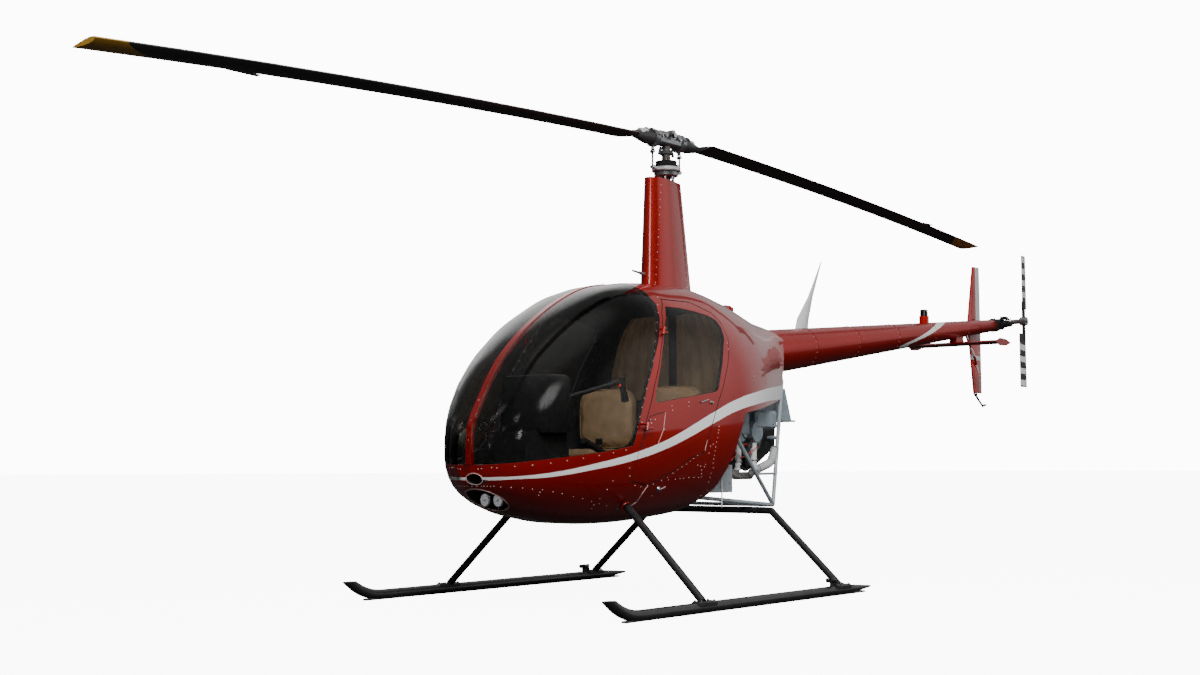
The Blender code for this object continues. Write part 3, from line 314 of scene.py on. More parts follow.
def stripe_mask(shade):
    """1 on the white side stripe of the body, measured across it."""
    spots = []
    for px, py, half in STRIPE:
        hit = seen(px, py, *HULL_SKIN)
        if hit:
            spots.append((hit[0].y, hit[0].z, half))
    spots.sort()
    centre = [(to_unit(y, SPAN_Y), to_unit(z, SPAN_Z)) for y, z, _ in spots]
    widths = []
    for i, (y, z, half) in enumerate(spots):
        before = spots[max(i - 1, 0)]
        after = spots[min(i + 1, len(spots) - 1)]
        slope = (after[1] - before[1]) / max(after[0] - before[0], 0.01)
        widths.append((to_unit(y, SPAN_Y), half * math.hypot(1, slope) * 10))
    _, y, z = shade.split()
    along = shade.ramp(y, SPAN_Y[0], SPAN_Y[1], 0, 1)
    middle = shade.ramp(shade.curve(along, centre), 0, 1, SPAN_Z[0], SPAN_Z[1])
    half = shade.math("DIVIDE", shade.curve(along, widths), 10.0)
    away = shade.math("ABSOLUTE", shade.math("SUBTRACT", z, middle))
    return shade.math("LESS_THAN", away, half)


# White band over the boom, on the photograph, from the underside to the top
BOOM_STRIPE = ((862.0, 356.0), (880.0, 352.4), (900.0, 346.8), (912.0, 342.0), (926.0, 335.0), (936.0, 328.0),
               (940.5, 322.8))
BOOM_STRIPE_HALF = 0.070
BOOM_STRIPE_SPAN = (2.4, 3.9)


def boom_axis(y):
    """Height of the boom's middle line and its radius at a Y of the part."""
    share = (y - MAST_Y - BOOM_FRONT[1]) / (BOOM_REAR[1] - BOOM_FRONT[1])
    return (BOOM_FRONT[2] + share * (BOOM_REAR[2] - BOOM_FRONT[2]),
            BOOM_RADIUS[0] + share * (BOOM_RADIUS[1] - BOOM_RADIUS[0]))


def boom_mask(shade):
    """1 on the white band round the boom."""
    spots = []
    for px, py in BOOM_STRIPE:
        hit = seen(px, py, "tail_boom")
        if hit:
            middle, radius = boom_axis(hit[0].y)
            spots.append(((hit[0].z - middle) / radius, hit[0].y))
    spots.sort()
    low, high = BOOM_STRIPE_SPAN
    line = [(to_unit(h, (-1, 1)), to_unit(y, (low, high))) for h, y in spots]
    _, y, z = shade.split()
    share = shade.ramp(y, BOOM_FRONT[1] + MAST_Y, BOOM_REAR[1] + MAST_Y, 0, 1)
    middle = shade.ramp(share, 0, 1, BOOM_FRONT[2], BOOM_REAR[2])
    radius = shade.ramp(share, 0, 1, *BOOM_RADIUS)
    height = shade.math("DIVIDE", shade.math("SUBTRACT", z, middle), radius)
    target = shade.ramp(shade.curve(shade.ramp(height, -1, 1, 0, 1), line), 0, 1, low, high)
    away = shade.math("ABSOLUTE", shade.math("SUBTRACT", y, target))
    return shade.math("LESS_THAN", away, BOOM_STRIPE_HALF)


# Materials


def paint(name, mask=None, coat=1.0):
    """Clear-coated metallic red, with fine flakes and a faint orange peel; white where the mask is 1."""
    shade = Shade(name)
    flakes = shade.ramp(shade.noise(2600, 1), 0.35, 0.65, 0, 1)
    red = shade.mix(flakes, RED_DEEP, RED)
    wide = shade.ramp(shade.noise(1.7, 2), 0.3, 0.7, 0, 0.35)
    red = shade.mix(wide, red, RED_DEEP)
    shade.set(Metallic=0.55, Coat_Weight=coat, Coat_Roughness=0.025)
    if mask is not None:
        where = mask(shade)
        shade.colour(shade.mix(where, red, WHITE))
        shade.join(shade.ramp(where, 0, 1, 0.55, 0.0), shade.main.inputs["Metallic"])
    else:
        shade.colour(red)
    shade.rough(shade.ramp(shade.noise(40, 2), 0.3, 0.7, 0.30, 0.38))
    shade.bump(shade.noise(420, 2), 0.05, 0.0004)
    return shade.material


def plain(name, dark, light, rough=(0.4, 0.5), grain=60, metallic=0.0, bump=0.1, fine=400, coat=0.0):
    """Two close tones mixed by noise, with fine bump and uneven gloss."""
    shade = Shade(name)
    shade.colour(shade.mix(shade.ramp(shade.noise(grain, 4, 0.6), 0.3, 0.7, 0, 1), dark, light))
    shade.rough(shade.ramp(shade.noise(grain * 0.4, 3), 0.3, 0.7, rough[0], rough[1]))
    shade.set(Metallic=metallic, Coat_Weight=coat, Coat_Roughness=0.08)
    shade.bump(shade.noise(fine, 3, 0.6), bump, 0.0006)
    return shade.material


def leather():
    """Tan leather with a fine grain and slow changes of tone."""
    shade = Shade("tan_leather_grain")
    cells = shade.cells(900)
    wide = shade.noise(14, 4)
    tone = shade.mix(shade.ramp(wide, 0.3, 0.7, 0, 1), (0.235, 0.155, 0.085), (0.315, 0.215, 0.125))
    shade.colour(shade.mix(shade.ramp(cells, 0.0, 0.5, 0.15, 0), tone, (0.16, 0.10, 0.055)))
    shade.rough(shade.ramp(wide, 0.3, 0.7, 0.42, 0.58))
    height = shade.math("ADD", shade.math("MULTIPLY", cells, 0.6), shade.noise(90, 4))
    shade.bump(height, 0.12, 0.0004)
    return shade.material


def carpet():
    shade = Shade("dark_carpet_pile")
    tufts = shade.noise(700, 2)
    shade.colour(shade.mix(shade.ramp(tufts, 0.3, 0.7, 0, 1), (0.012, 0.012, 0.013), (0.045, 0.043, 0.042)))
    shade.set(Roughness=0.95, Specular_IOR_Level=0.2)
    shade.bump(tufts, 0.6, 0.002)
    return shade.material


def pick_shader(shade, ray, usual, other):
    """One surface for most rays and another for the kind of ray that is named."""
    path = shade.add("ShaderNodeLightPath")
    both = shade.add("ShaderNodeMixShader")
    shade.join(path.outputs[ray], both.inputs[0])
    shade.join(usual, both.inputs[1])
    shade.join(other, both.inputs[2])
    shade.join(both.outputs[0], shade.out.inputs[0])


def let_lamps_through(shade, tint):
    """Glass casts only a faint, tinted shadow, so that what lies behind it is lit."""
    clear = shade.add("ShaderNodeBsdfTransparent")
    clear.inputs[0].default_value = (*tint, 1)
    pick_shader(shade, "Is Shadow Ray", shade.main.outputs[0], clear.outputs[0])


def tinted_glass():
    """Dark acrylic of the windshields and door windows."""
    shade = Shade("tinted_glass")
    shade.set(Base_Color=(0.50, 0.50, 0.49), IOR=1.22, Transmission_Weight=1.0)
    shade.rough(shade.ramp(shade.noise(9, 3), 0.4, 0.8, 0.0, 0.02))
    let_lamps_through(shade, (0.85, 0.85, 0.84))
    return shade.material


def clear_glass():
    shade = Shade("lamp_glass")
    tint = (0.92, 0.94, 0.96)
    shade.set(Base_Color=tint, Roughness=0.02, IOR=1.45, Transmission_Weight=1.0)
    let_lamps_through(shade, tint)
    shade.bump(shade.noise(60, 2), 0.03, 0.0005)
    return shade.material


def lamp_bowl():
    """Dish of a lamp, bright in light and dark facets and faintly glowing: a painted reflection that stands in
    for the shine of its chrome.
    """
    shade = Shade("lamp_bowl_painted_shine")
    facets = shade.ramp(shade.cells(160), 0.1, 0.5, 0, 1)
    shade.colour(shade.mix(facets, (0.85, 0.85, 0.86), (0.40, 0.41, 0.43)))
    # The emission is a painted glow for the light the chrome dish reflects
    shade.set(Roughness=0.25, Emission_Color=(1.0, 1.0, 1.0), Emission_Strength=0.22)
    shade.bump(shade.cells(160), 0.3, 0.001)
    return shade.material


# The light strip on the upper fin starts at this Y; the light band on the lower fin lies between two heights
FIN_STRIP_Y = 3.778
FIN_BAND_Z = (1.555, 1.590)
FIN_JOINT_Z = 1.84
# Foot of the guard rod, and the height of one red and one white band together
GUARD_FOOT_Z = 1.451
GUARD_BANDS = 0.128
GOLD = (0.62, 0.33, 0.04)
BLADE_TIP = 3.81
GOLD_LENGTH = 0.27
# Where the tail blades' bands start from the hub, and the length of one black and one white band together
TAIL_BANDS_FROM = 0.144
TAIL_BANDS = 0.0947


def blade_paint():
    """Satin black, with a gold tip whose inner edge runs aslant across the chord."""
    shade = Shade("blade_black_and_gold")
    x, y, _ = shade.split()
    reach = shade.math("ABSOLUTE", shade.math("SUBTRACT", y, MAST_Y))
    side = shade.math("MULTIPLY", x, shade.math("SIGN", shade.math("SUBTRACT", y, MAST_Y)))
    slant = shade.math("MULTIPLY", side, 1.3)
    edge = shade.math("SUBTRACT", BLADE_TIP - GOLD_LENGTH + 0.06, slant)
    tip = shade.math("GREATER_THAN", reach, edge)
    tone = shade.mix(shade.ramp(shade.noise(6, 4, 0.6, (1, 0.2, 1)), 0.3, 0.7, 0, 1), (0.022, 0.022, 0.024),
                     (0.042, 0.042, 0.045))
    worn = shade.mix(shade.ramp(shade.noise(25, 4), 0.45, 0.7, 0, 0.5), GOLD, (0.45, 0.23, 0.03))
    shade.colour(shade.mix(tip, tone, worn))
    shade.rough(shade.ramp(shade.noise(30, 3), 0.3, 0.7, 0.36, 0.50))
    shade.bump(shade.noise(500, 2), 0.08, 0.0004)
    return shade.material


def tail_blade_paint():
    """Black and white bands across the tail blades, black at the root."""
    shade = Shade("tail_blade_bands")
    _, y, z = shade.split()
    away_y = shade.math("SUBTRACT", y, TAIL_HUB.y)
    away_z = shade.math("SUBTRACT", z, TAIL_HUB.z)
    square = shade.math("ADD", shade.math("MULTIPLY", away_y, away_y), shade.math("MULTIPLY", away_z, away_z))
    reach = shade.math("SQRT", square)
    past_root = shade.math("SUBTRACT", reach, TAIL_BANDS_FROM)
    cycle = shade.math("FRACT", shade.math("DIVIDE", past_root, TAIL_BANDS))
    white = shade.math("GREATER_THAN", cycle, 0.52)
    inner = shade.math("GREATER_THAN", reach, 0.16)
    mask = shade.math("MULTIPLY", white, inner)
    wear = shade.ramp(shade.noise(40, 3), 0.3, 0.7, 0, 1)
    tone = shade.mix(wear, (0.012, 0.012, 0.012), (0.03, 0.03, 0.03))
    shade.colour(shade.mix(mask, tone, (0.78, 0.78, 0.76)))
    shade.rough(shade.ramp(shade.noise(60, 3), 0.3, 0.7, 0.32, 0.45))
    shade.bump(shade.noise(500, 2), 0.06, 0.0004)
    return shade.material


def guard_paint():
    """Red and white bands down the guard rod."""
    shade = Shade("guard_rod_bands")
    _, _, z = shade.split()
    cycle = shade.math("FRACT", shade.math("DIVIDE", shade.math("SUBTRACT", z, GUARD_FOOT_Z), GUARD_BANDS))
    white = shade.math("LESS_THAN", cycle, 0.5)
    wear = shade.ramp(shade.noise(50, 3), 0.3, 0.7, 0, 1)
    tone = shade.mix(wear, (0.42, 0.010, 0.012), (0.34, 0.008, 0.010))
    shade.colour(shade.mix(white, tone, WHITE))
    shade.rough(shade.ramp(shade.noise(60, 3), 0.3, 0.7, 0.25, 0.35))
    shade.set(Coat_Weight=0.6)
    shade.bump(shade.noise(500, 2), 0.05, 0.0003)
    return shade.material


def fin_paint():
    """Red fin with a light strip down its rear edge and a light band below the boom."""
    shade = Shade("fin_red_and_light")
    _, y, z = shade.split()
    rear = shade.math("GREATER_THAN", y, FIN_STRIP_Y)
    low, high = FIN_BAND_Z
    band = shade.math("MULTIPLY", shade.math("GREATER_THAN", z, low), shade.math("LESS_THAN", z, high))
    upper = shade.math("GREATER_THAN", z, FIN_JOINT_Z)
    light = shade.math("MAXIMUM", shade.math("MULTIPLY", rear, upper), band)
    tone = shade.mix(shade.ramp(shade.noise(3, 2), 0.3, 0.7, 0, 1), RED, RED_DEEP)
    shade.colour(shade.mix(light, tone, (0.72, 0.72, 0.71)))
    shade.set(Coat_Weight=1.0, Coat_Roughness=0.03)
    shade.rough(shade.ramp(shade.noise(40, 2), 0.3, 0.7, 0.28, 0.36))
    shade.bump(shade.noise(420, 2), 0.05, 0.0004)
    return shade.material


def split_by_height(name, level, lower, upper, rough=(0.3, 0.45), coat=0.0, metallic=0.0):
    """One pair of tones below a height and another above it."""
    shade = Shade(name)
    _, _, z = shade.split()
    high = shade.math("GREATER_THAN", z, level)
    wear = shade.ramp(shade.noise(35, 4), 0.3, 0.7, 0, 1)
    shade.colour(shade.mix(high, shade.mix(wear, *lower), shade.mix(wear, *upper)))
    shade.set(Coat_Weight=coat, Metallic=metallic)
    shade.rough(shade.ramp(shade.noise(50, 3), 0.3, 0.7, *rough))
    shade.bump(shade.noise(350, 3), 0.12, 0.0005)
    return shade.material


def steel():
    shade = Shade("heat_stained_steel")
    stain = shade.ramp(shade.noise(22, 5, 0.65), 0.35, 0.65, 0, 1)
    shade.colour(shade.mix(stain, (0.33, 0.31, 0.29), (0.16, 0.12, 0.09)))
    shade.set(Metallic=0.9)
    shade.rough(shade.ramp(shade.noise(60, 4), 0.3, 0.7, 0.35, 0.6))
    shade.bump(shade.noise(300, 3), 0.2, 0.0006)
    return shade.material


MATS = {
    "red_paint": paint("red_paint_coat"),
    "red_stripe": paint("red_paint_side_stripe", stripe_mask),
    "red_boom": paint("red_paint_boom_band", boom_mask, 0.35),
    "glass": tinted_glass(),
    "lamp_glass": clear_glass(),
    "lamp_bowl": lamp_bowl(),
    "tan_leather": leather(),
    "carpet": carpet(),
    "steel": steel(),
    "blade": blade_paint(),
    "tail_blade": tail_blade_paint(),
    "guard": guard_paint(),
    "fin": fin_paint(),
    "beacon": split_by_height("beacon_base_and_lens", 1.838, ((0.50, 0.008, 0.005), (0.36, 0.006, 0.004)),
                              ((0.006, 0.004, 0.004), (0.012, 0.008, 0.008)), (0.05, 0.10), coat=1.0),
    "riser": split_by_height("riser_pipe_and_foot", 0.705, ((0.16, 0.15, 0.14), (0.26, 0.25, 0.24)),
                             ((0.80, 0.80, 0.79), (0.92, 0.92, 0.91))),
    "swash": split_by_height("swash_ring_and_collar", 2.512, ((0.42, 0.43, 0.44), (0.56, 0.57, 0.58)),
                             ((0.012, 0.012, 0.013), (0.03, 0.03, 0.032)), metallic=0.2),
}

# Plain finishes: two tones, roughness, grain, and what else differs from the usual
PLAIN = {
    "black_paint": ("black_enamel", (0.010, 0.010, 0.011), (0.022, 0.022, 0.024), (0.30, 0.45), 25,
                    {"coat": 0.3}),
    "grey_frame": ("grey_blue_enamel", (0.27, 0.31, 0.34), (0.36, 0.40, 0.43), (0.30, 0.42), 18, {"coat": 0.4}),
    "bare_metal": ("bare_alloy", (0.30, 0.31, 0.32), (0.46, 0.47, 0.48), (0.28, 0.45), 40,
                   {"metallic": 0.9, "bump": 0.15}),
    "black_plastic": ("black_grained_plastic", (0.012, 0.012, 0.013), (0.024, 0.024, 0.025), (0.7, 0.85), 60,
                      {"bump": 0.3, "fine": 900}),
    "white_plastic": ("white_gelcoat", (0.70, 0.70, 0.69), (0.80, 0.80, 0.79), (0.25, 0.35), 12, {"coat": 0.5}),
    "dark_engine": ("cast_grey_metal", (0.045, 0.048, 0.050), (0.10, 0.105, 0.11), (0.45, 0.65), 70,
                    {"metallic": 0.35, "bump": 0.4, "fine": 350}),
    "dial_face": ("dial_faces", (0.010, 0.010, 0.010), (0.02, 0.02, 0.02), (0.1, 0.2), 90, {"coat": 1.0}),
    "padding": ("tan_cabin_padding", (0.165, 0.112, 0.064), (0.215, 0.150, 0.090), (0.55, 0.7), 9, {}),
    "chrome": ("polished_chrome", (0.60, 0.60, 0.61), (0.72, 0.72, 0.73), (0.06, 0.12), 30,
               {"metallic": 1.0, "bump": 0.03}),
    "rubber": ("matt_rubber", (0.010, 0.010, 0.010), (0.022, 0.021, 0.020), (0.7, 0.85), 80, {"bump": 0.3}),
    "lining": ("dark_cabin_lining", (0.014, 0.014, 0.015), (0.030, 0.030, 0.032), (0.6, 0.8), 30,
               {"fine": 900}),
    # Pale pink of rivet heads, rims and raised lines: a painted glint, lighter than the red as the small raised
    # parts catch the light
    "rivet": ("worn_rivet_paint", (0.66, 0.40, 0.38), (0.80, 0.56, 0.54), (0.20, 0.32), 300, {"coat": 0.8}),
    "red_plastic": ("red_button_plastic", (0.50, 0.012, 0.010), (0.60, 0.020, 0.015), (0.3, 0.4), 60, {}),
    "wire_red": ("red_wire_sleeve", (0.62, 0.015, 0.012), (0.80, 0.03, 0.02), (0.4, 0.5), 200, {}),
    "duct": ("light_duct_cloth", (0.42, 0.43, 0.43), (0.58, 0.59, 0.59), (0.5, 0.7), 200, {"bump": 0.4}),
    "engine_blue": ("blue_grey_shroud", (0.15, 0.19, 0.22), (0.25, 0.30, 0.33), (0.32, 0.5), 14,
                    {"coat": 0.2, "bump": 0.2}),
}
for finish, (*facts, extra) in PLAIN.items():
    MATS[finish] = plain(*facts, **extra)


# Pieces


def smooth(mesh, angle):
    mesh.polygons.foreach_set("use_smooth", [True] * len(mesh.polygons))
    mesh.set_sharp_from_angle(angle=math.radians(angle))


def welded(name):
    """The node's surface with its corners joined, as a bmesh."""
    work = bmesh.new()
    work.from_mesh(NODES[name].data)
    bmesh.ops.remove_doubles(work, verts=work.verts, dist=2e-5)
    work.normal_update()
    return work


def even_normals(mesh, angle):
    """Shades each corner by the directions that meet there, each counted once however many faces share it."""
    around = [[] for _ in mesh.vertices]
    for polygon in mesh.polygons:
        for index in polygon.vertices:
            around[index].append(polygon.normal.copy())
    near = math.cos(math.radians(angle))
    same = math.cos(math.radians(5))
    loops = [None] * len(mesh.loops)
    for polygon in mesh.polygons:
        own = polygon.normal
        for loop in polygon.loop_indices:
            kept = []
            for normal in around[mesh.loops[loop].vertex_index]:
                if normal.dot(own) > near and not any(normal.dot(other) > same for other in kept):
                    kept.append(normal)
            total = sum(kept, Vector((0, 0, 0)))
            loops[loop] = tuple(total.normalized() if total.length > 0.1 else own)
    mesh.polygons.foreach_set("use_smooth", [True] * len(mesh.polygons))
    mesh.normals_split_custom_set(loops)


def set_material(name, material):
    mesh = NODES[name].data
    for i in range(len(mesh.materials)):
        mesh.materials[i] = MATS[material]


def take_place(holder, name, material):
    """Puts a piece in the place of its node, on the node's body, and gives the hidden node the piece's finish.
    """
    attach(holder, BODY_OF[name])
    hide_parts(name)
    NODES[name].data.materials[0].name.split(".")[0]
    set_material(name, material)


def dress(name, material, angle=35):
    """A smooth-shaded copy of a node in its finish."""
    work = welded(name)
    mesh = bpy.data.meshes.new(name + "_skin")
    work.to_mesh(mesh)
    work.free()
    holder = new_object(name + "_skin", mesh)
    even_normals(mesh, angle)
    mesh.materials.append(MATS[material])
    take_place(holder, name, material)
    return holder


# Sections of the body outline: y from the mast, top, keel, height of the widest line,
# and half width where it isn't the nose curve
STATIONS = (
    (-1.645, 0.850, 0.720, 0.790, 0.020), (-1.640, 0.930, 0.665, 0.795, None),
    (-1.620, 0.985, 0.635, 0.800, None), (-1.576, 1.066, 0.592, 0.810, None),
    (-1.502, 1.190, 0.545, 0.825, None), (-1.427, 1.290, 0.510, 0.840, None),
    (-1.328, 1.390, 0.478, 0.860, None), (-1.193, 1.500, 0.448, 0.885, None),
    (-0.995, 1.625, 0.424, 0.920, None), (-0.813, 1.708, 0.418, 0.945, None),
    (-0.562, 1.762, 0.422, 0.970, None), (-0.302, 1.784, 0.440, 0.990, 0.555),
    (-0.100, 1.784, 0.465, 1.010, 0.552), (0.100, 1.762, 0.500, 1.050, 0.530),
    (0.300, 1.724, 0.540, 1.100, 0.475), (0.500, 1.678, 0.590, 1.160, 0.395),
    (0.700, 1.636, 0.650, 1.220, 0.305), (0.900, 1.612, 0.720, 1.290, 0.215),
    (1.120, 1.575, 0.800, 1.380, 0.155),
)
UPPER_POWERS = (
    (-1.645, 2.4), (-1.50, 2.6), (-1.20, 2.75), (-0.50, 2.75), (-0.10, 2.6), (0.15, 2.35),
    (0.50, 2.3),
)
LOWER_POWER = 2.4
NOSE_Y = -1.645
WIDEST_Y = -0.45
HALF_WIDTH = 0.555
NOSE_POWER = 2.5


def nose_width(y):
    share = np.clip((y - WIDEST_Y) / (NOSE_Y - WIDEST_Y), 0, 1)
    return HALF_WIDTH * (1 - share ** NOSE_POWER) ** (1 / NOSE_POWER)


def hermite(xs, ys, x):
    """A smooth curve through the points."""
    slopes = np.gradient(ys, xs)
    i = np.clip(np.searchsorted(xs, x) - 1, 0, len(xs) - 2)
    width = xs[i + 1] - xs[i]
    t = np.clip((x - xs[i]) / width, 0, 1)
    return ((1 + 2 * t) * (1 - t) ** 2 * ys[i] + t * (1 - t) ** 2 * width * slopes[i]
            + t * t * (3 - 2 * t) * ys[i + 1] + t * t * (t - 1) * width * slopes[i + 1])


def straight(xs, ys, x):
    return np.interp(x, xs, ys)


STATION_Y, STATION_TOP, STATION_KEEL, STATION_WIDEST = (
    np.array(column) for column in list(zip(*STATIONS))[:4])
STATION_HALF = np.array([nose_width(row[0]) if row[4] is None else row[4] for row in STATIONS])
POWER_Y, POWER_VALUE = (np.array(column) for column in zip(*UPPER_POWERS))
# Aft of this station the tables are smooth enough for a curve; ahead of it the nose keeps its straight steps
SMOOTH_FROM = -1.56


def reach_of(points, through):
    """How far each point lies from its section's middle, as a share of the outline there."""
    x, y, z = points[:, 0], points[:, 1] - MAST_Y, points[:, 2]
    top, keel, widest, half = (through(STATION_Y, table, y) for table in
                               (STATION_TOP, STATION_KEEL, STATION_WIDEST, STATION_HALF))
    power = np.where(z > widest, np.interp(y, POWER_Y, POWER_VALUE), LOWER_POWER)
    rise = np.where(z > widest, top - widest, widest - keel)
    rise = np.maximum(rise, 0.02)
    level = (np.abs(x) / np.maximum(half, 0.02)) ** power + (np.abs(z - widest) / rise) ** power
    return np.maximum(level, 1e-9) ** (1 / power), widest


def smoothed(points):
    """Moves points of the straight-sided outline on to the curved one."""
    curved, widest = reach_of(points, hermite)
    plain_reach, _ = reach_of(points, straight)
    scale = plain_reach / curved
    blend = np.clip((points[:, 1] - MAST_Y - SMOOTH_FROM) / 0.1, 0, 1)
    scale = 1 + (scale - 1) * blend
    moved = points.copy()
    moved[:, 0] *= scale
    moved[:, 2] = widest + (points[:, 2] - widest) * scale
    return moved


def outline_normals(points):
    """Outward directions of the curved outline at the points."""
    step = 0.002
    grads = np.zeros_like(points)
    for axis in range(3):
        shift = np.zeros(3)
        shift[axis] = step
        ahead, _ = reach_of(points + shift, hermite)
        behind, _ = reach_of(points - shift, hermite)
        grads[:, axis] = ahead - behind
    return grads / np.maximum(np.linalg.norm(grads, axis=1, keepdims=True), 1e-9)


# Nodes that stay on the straight-sided outline, and nodes whose rims are sealed with rubber
UNMOVED = ("door_port", "door_starboard", "cabin_frame", "door_window_port", "door_window_starboard")
SEALED = ("door_port", "door_starboard", "cabin_frame", "hull_lower", "cowl_aft")
LONGEST_EDGE = 0.06


def is_rim(face):
    """Whether a face's middle lies inside the shell's outline."""
    reach, _ = reach_of(np.array([face.calc_center_median()]), straight)
    return float(reach[0]) < 1.0


def skin(name, material, inner=None):
    """A node of the body shell, on its curved outline unless it is unmoved, with the outline's own shading."""
    work = welded(name)
    for _ in range(3):
        long_edges = [e for e in work.edges if e.calc_length() > LONGEST_EDGE]
        if not long_edges:
            break
        bmesh.ops.subdivide_edges(work, edges=long_edges, cuts=1)
        bmesh.ops.triangulate(work, faces=[f for f in work.faces if len(f.verts) > 3])
    points = np.array([v.co for v in work.verts])
    normals = outline_normals(points)
    moved = points.copy() if name in UNMOVED else smoothed(points)
    kinds = []
    for face in work.faces:
        here = np.mean([normals[v.index] for v in face.verts], axis=0)
        lean = float(np.dot(here, face.normal))
        kinds.append(1 if lean > 0.86 else (-1 if lean < -0.86 else 0))
    for v in work.verts:
        v.co = moved[v.index]
    work.normal_update()
    work.faces.ensure_lookup_table()
    for face in work.faces:
        if inner and kinds[face.index] < 0:
            face.material_index = 1
        elif name in SEALED and kinds[face.index] == 0 and is_rim(face):
            face.material_index = 2
    mesh = bpy.data.meshes.new(name + "_skin")
    work.to_mesh(mesh)
    flat = [tuple(f.normal) for f in work.faces]
    work.free()
    mesh.polygons.foreach_set("use_smooth", [True] * len(mesh.polygons))
    normals = outline_normals(moved)
    loops = [None] * len(mesh.loops)
    for polygon in mesh.polygons:
        kind = kinds[polygon.index]
        for loop in polygon.loop_indices:
            vertex = mesh.loops[loop].vertex_index
            loops[loop] = tuple(normals[vertex] * kind) if kind else flat[polygon.index]
    mesh.normals_split_custom_set(loops)
    holder = new_object(name + "_skin", mesh)
    mesh.materials.append(MATS[material])
    if inner:
        mesh.materials.append(MATS[inner])
        mesh.materials.append(MATS["rubber"])
    take_place(holder, name, material)


def round_boom():
    """The boom with the even shading of a cone."""
    holder = dress("tail_boom", "red_boom")
    mesh = holder.data
    front = at(*BOOM_FRONT)
    taper = (BOOM_RADIUS[0] - BOOM_RADIUS[1]) / (BOOM_REAR[1] - BOOM_FRONT[1])
    loops = [None] * len(mesh.loops)
    for polygon in mesh.polygons:
        for loop in polygon.loop_indices:
            point = mesh.vertices[mesh.loops[loop].vertex_index].co
            away = point - front
            away = (away - BOOM_AXIS * away.dot(BOOM_AXIS)).normalized()
            wanted = (away + BOOM_AXIS * taper).normalized()
            loops[loop] = tuple(wanted if wanted.dot(polygon.normal) > 0.8 else polygon.normal)
    mesh.normals_split_custom_set(loops)


FINISH = {
    "antenna_whip": "white_plastic", "beacon": "beacon", "blade_aft": "blade", "blade_fore": "blade",
    "bulkhead": "lining", "cabin_floor": "carpet", "cabin_frame": "red_stripe", "centre_post": "red_paint",
    "collective_lever": "black_plastic", "cowl_aft": "red_stripe", "cross_tube_front": "black_paint",
    "cross_tube_rear": "black_paint", "cyclic_stick": "black_plastic", "door_port": "red_stripe",
    "door_starboard": "red_stripe", "door_window_port": "glass", "door_window_starboard": "glass",
    "engine_block": "dark_engine", "engine_cylinders_port": "engine_blue",
    "engine_cylinders_starboard": "engine_blue", "engine_frame": "grey_frame", "exhaust_port": "riser",
    "exhaust_starboard": "riser", "fan_scroll": "engine_blue", "fin_lower": "fin", "fin_upper": "fin",
    "firewall_box": "grey_frame", "fuel_cap": "red_paint", "hull_lower": "red_stripe",
    "instrument_console": "black_plastic", "landing_lamps": "black_plastic", "mast_fairing": "red_paint",
    "pedals_port": "black_plastic", "pedals_starboard": "black_plastic", "rotor_hub": "bare_metal",
    "rotor_shaft": "steel", "seat_base": "carpet", "skid_port": "black_paint", "skid_starboard": "black_paint",
    "stabiliser": "red_paint", "swashplate_fixed": "bare_metal", "swashplate_turning": "swash",
    "tail_blade_down": "tail_blade", "tail_blade_up": "tail_blade", "tail_boom": "red_boom",
    "tail_gearbox": "black_paint", "tail_guard": "guard", "tail_rotor_hub": "bare_metal",
    "tail_skid": "black_paint", "windshield_port": "glass", "windshield_starboard": "glass",
}
LINED = ("hull_lower", "cowl_aft", "door_port", "door_starboard", "cabin_frame")
OUTLINE_NODES = LINED + ("windshield_port", "windshield_starboard", "door_window_port", "door_window_starboard",
                         "centre_post")


def dress_all():
    for name, material in FINISH.items():
        if name == "tail_boom":
            round_boom()
        elif name in OUTLINE_NODES:
            skin(name, material, "lining" if name in LINED else None)
        else:
            dress(name, material)


# Seats

# Sizes of the remeshed pads: voxel, cloth pressure and the most that a point may move
VOXEL = 0.006
PRESSURE = 4.0
MOST_SWELL = 0.008
CLOTH_STEPS = 20
BACK_POWER = 4.5
CUSHION_POWER = 6.0
PLEAT_DEPTH = 0.007
PLEAT_WIDTH = 0.012
# Share of the seat back's front that the welt runs round
WELT_SHARE = 0.955

def soft_pad(name, low, high, power, pleats):
    """A padded block with crowned faces, parted by upright pleats on its two broad faces."""
    work = bmesh.new()
    bmesh.ops.create_cube(work, size=2.0)
    bmesh.ops.subdivide_edges(work, edges=work.edges[:], cuts=23, use_grid_fill=True)
    size = (high - low) / 2
    middle = (high + low) / 2
    thin = min(range(3), key=lambda axis: size[axis])
    for v in work.verts:
        u = v.co.copy()
        most = max(abs(c) for c in u)
        level = sum(abs(c) ** power for c in u) ** (1 / power)
        u *= most / level
        if pleats:
            share = (u.x + 1) / 2 * pleats
            near = abs(share - round(share)) / pleats * 2 * size.x
            if 0 < round(share) < pleats:
                u[thin] *= 1 - PLEAT_DEPTH / size[thin] * math.exp(-(near / PLEAT_WIDTH) ** 2)
        v.co = Vector((u.x * size.x, u.y * size.y, u.z * size.z)) + middle
    mesh = bpy.data.meshes.new(name)
    work.to_mesh(mesh)
    work.free()
    return new_object(name, mesh)


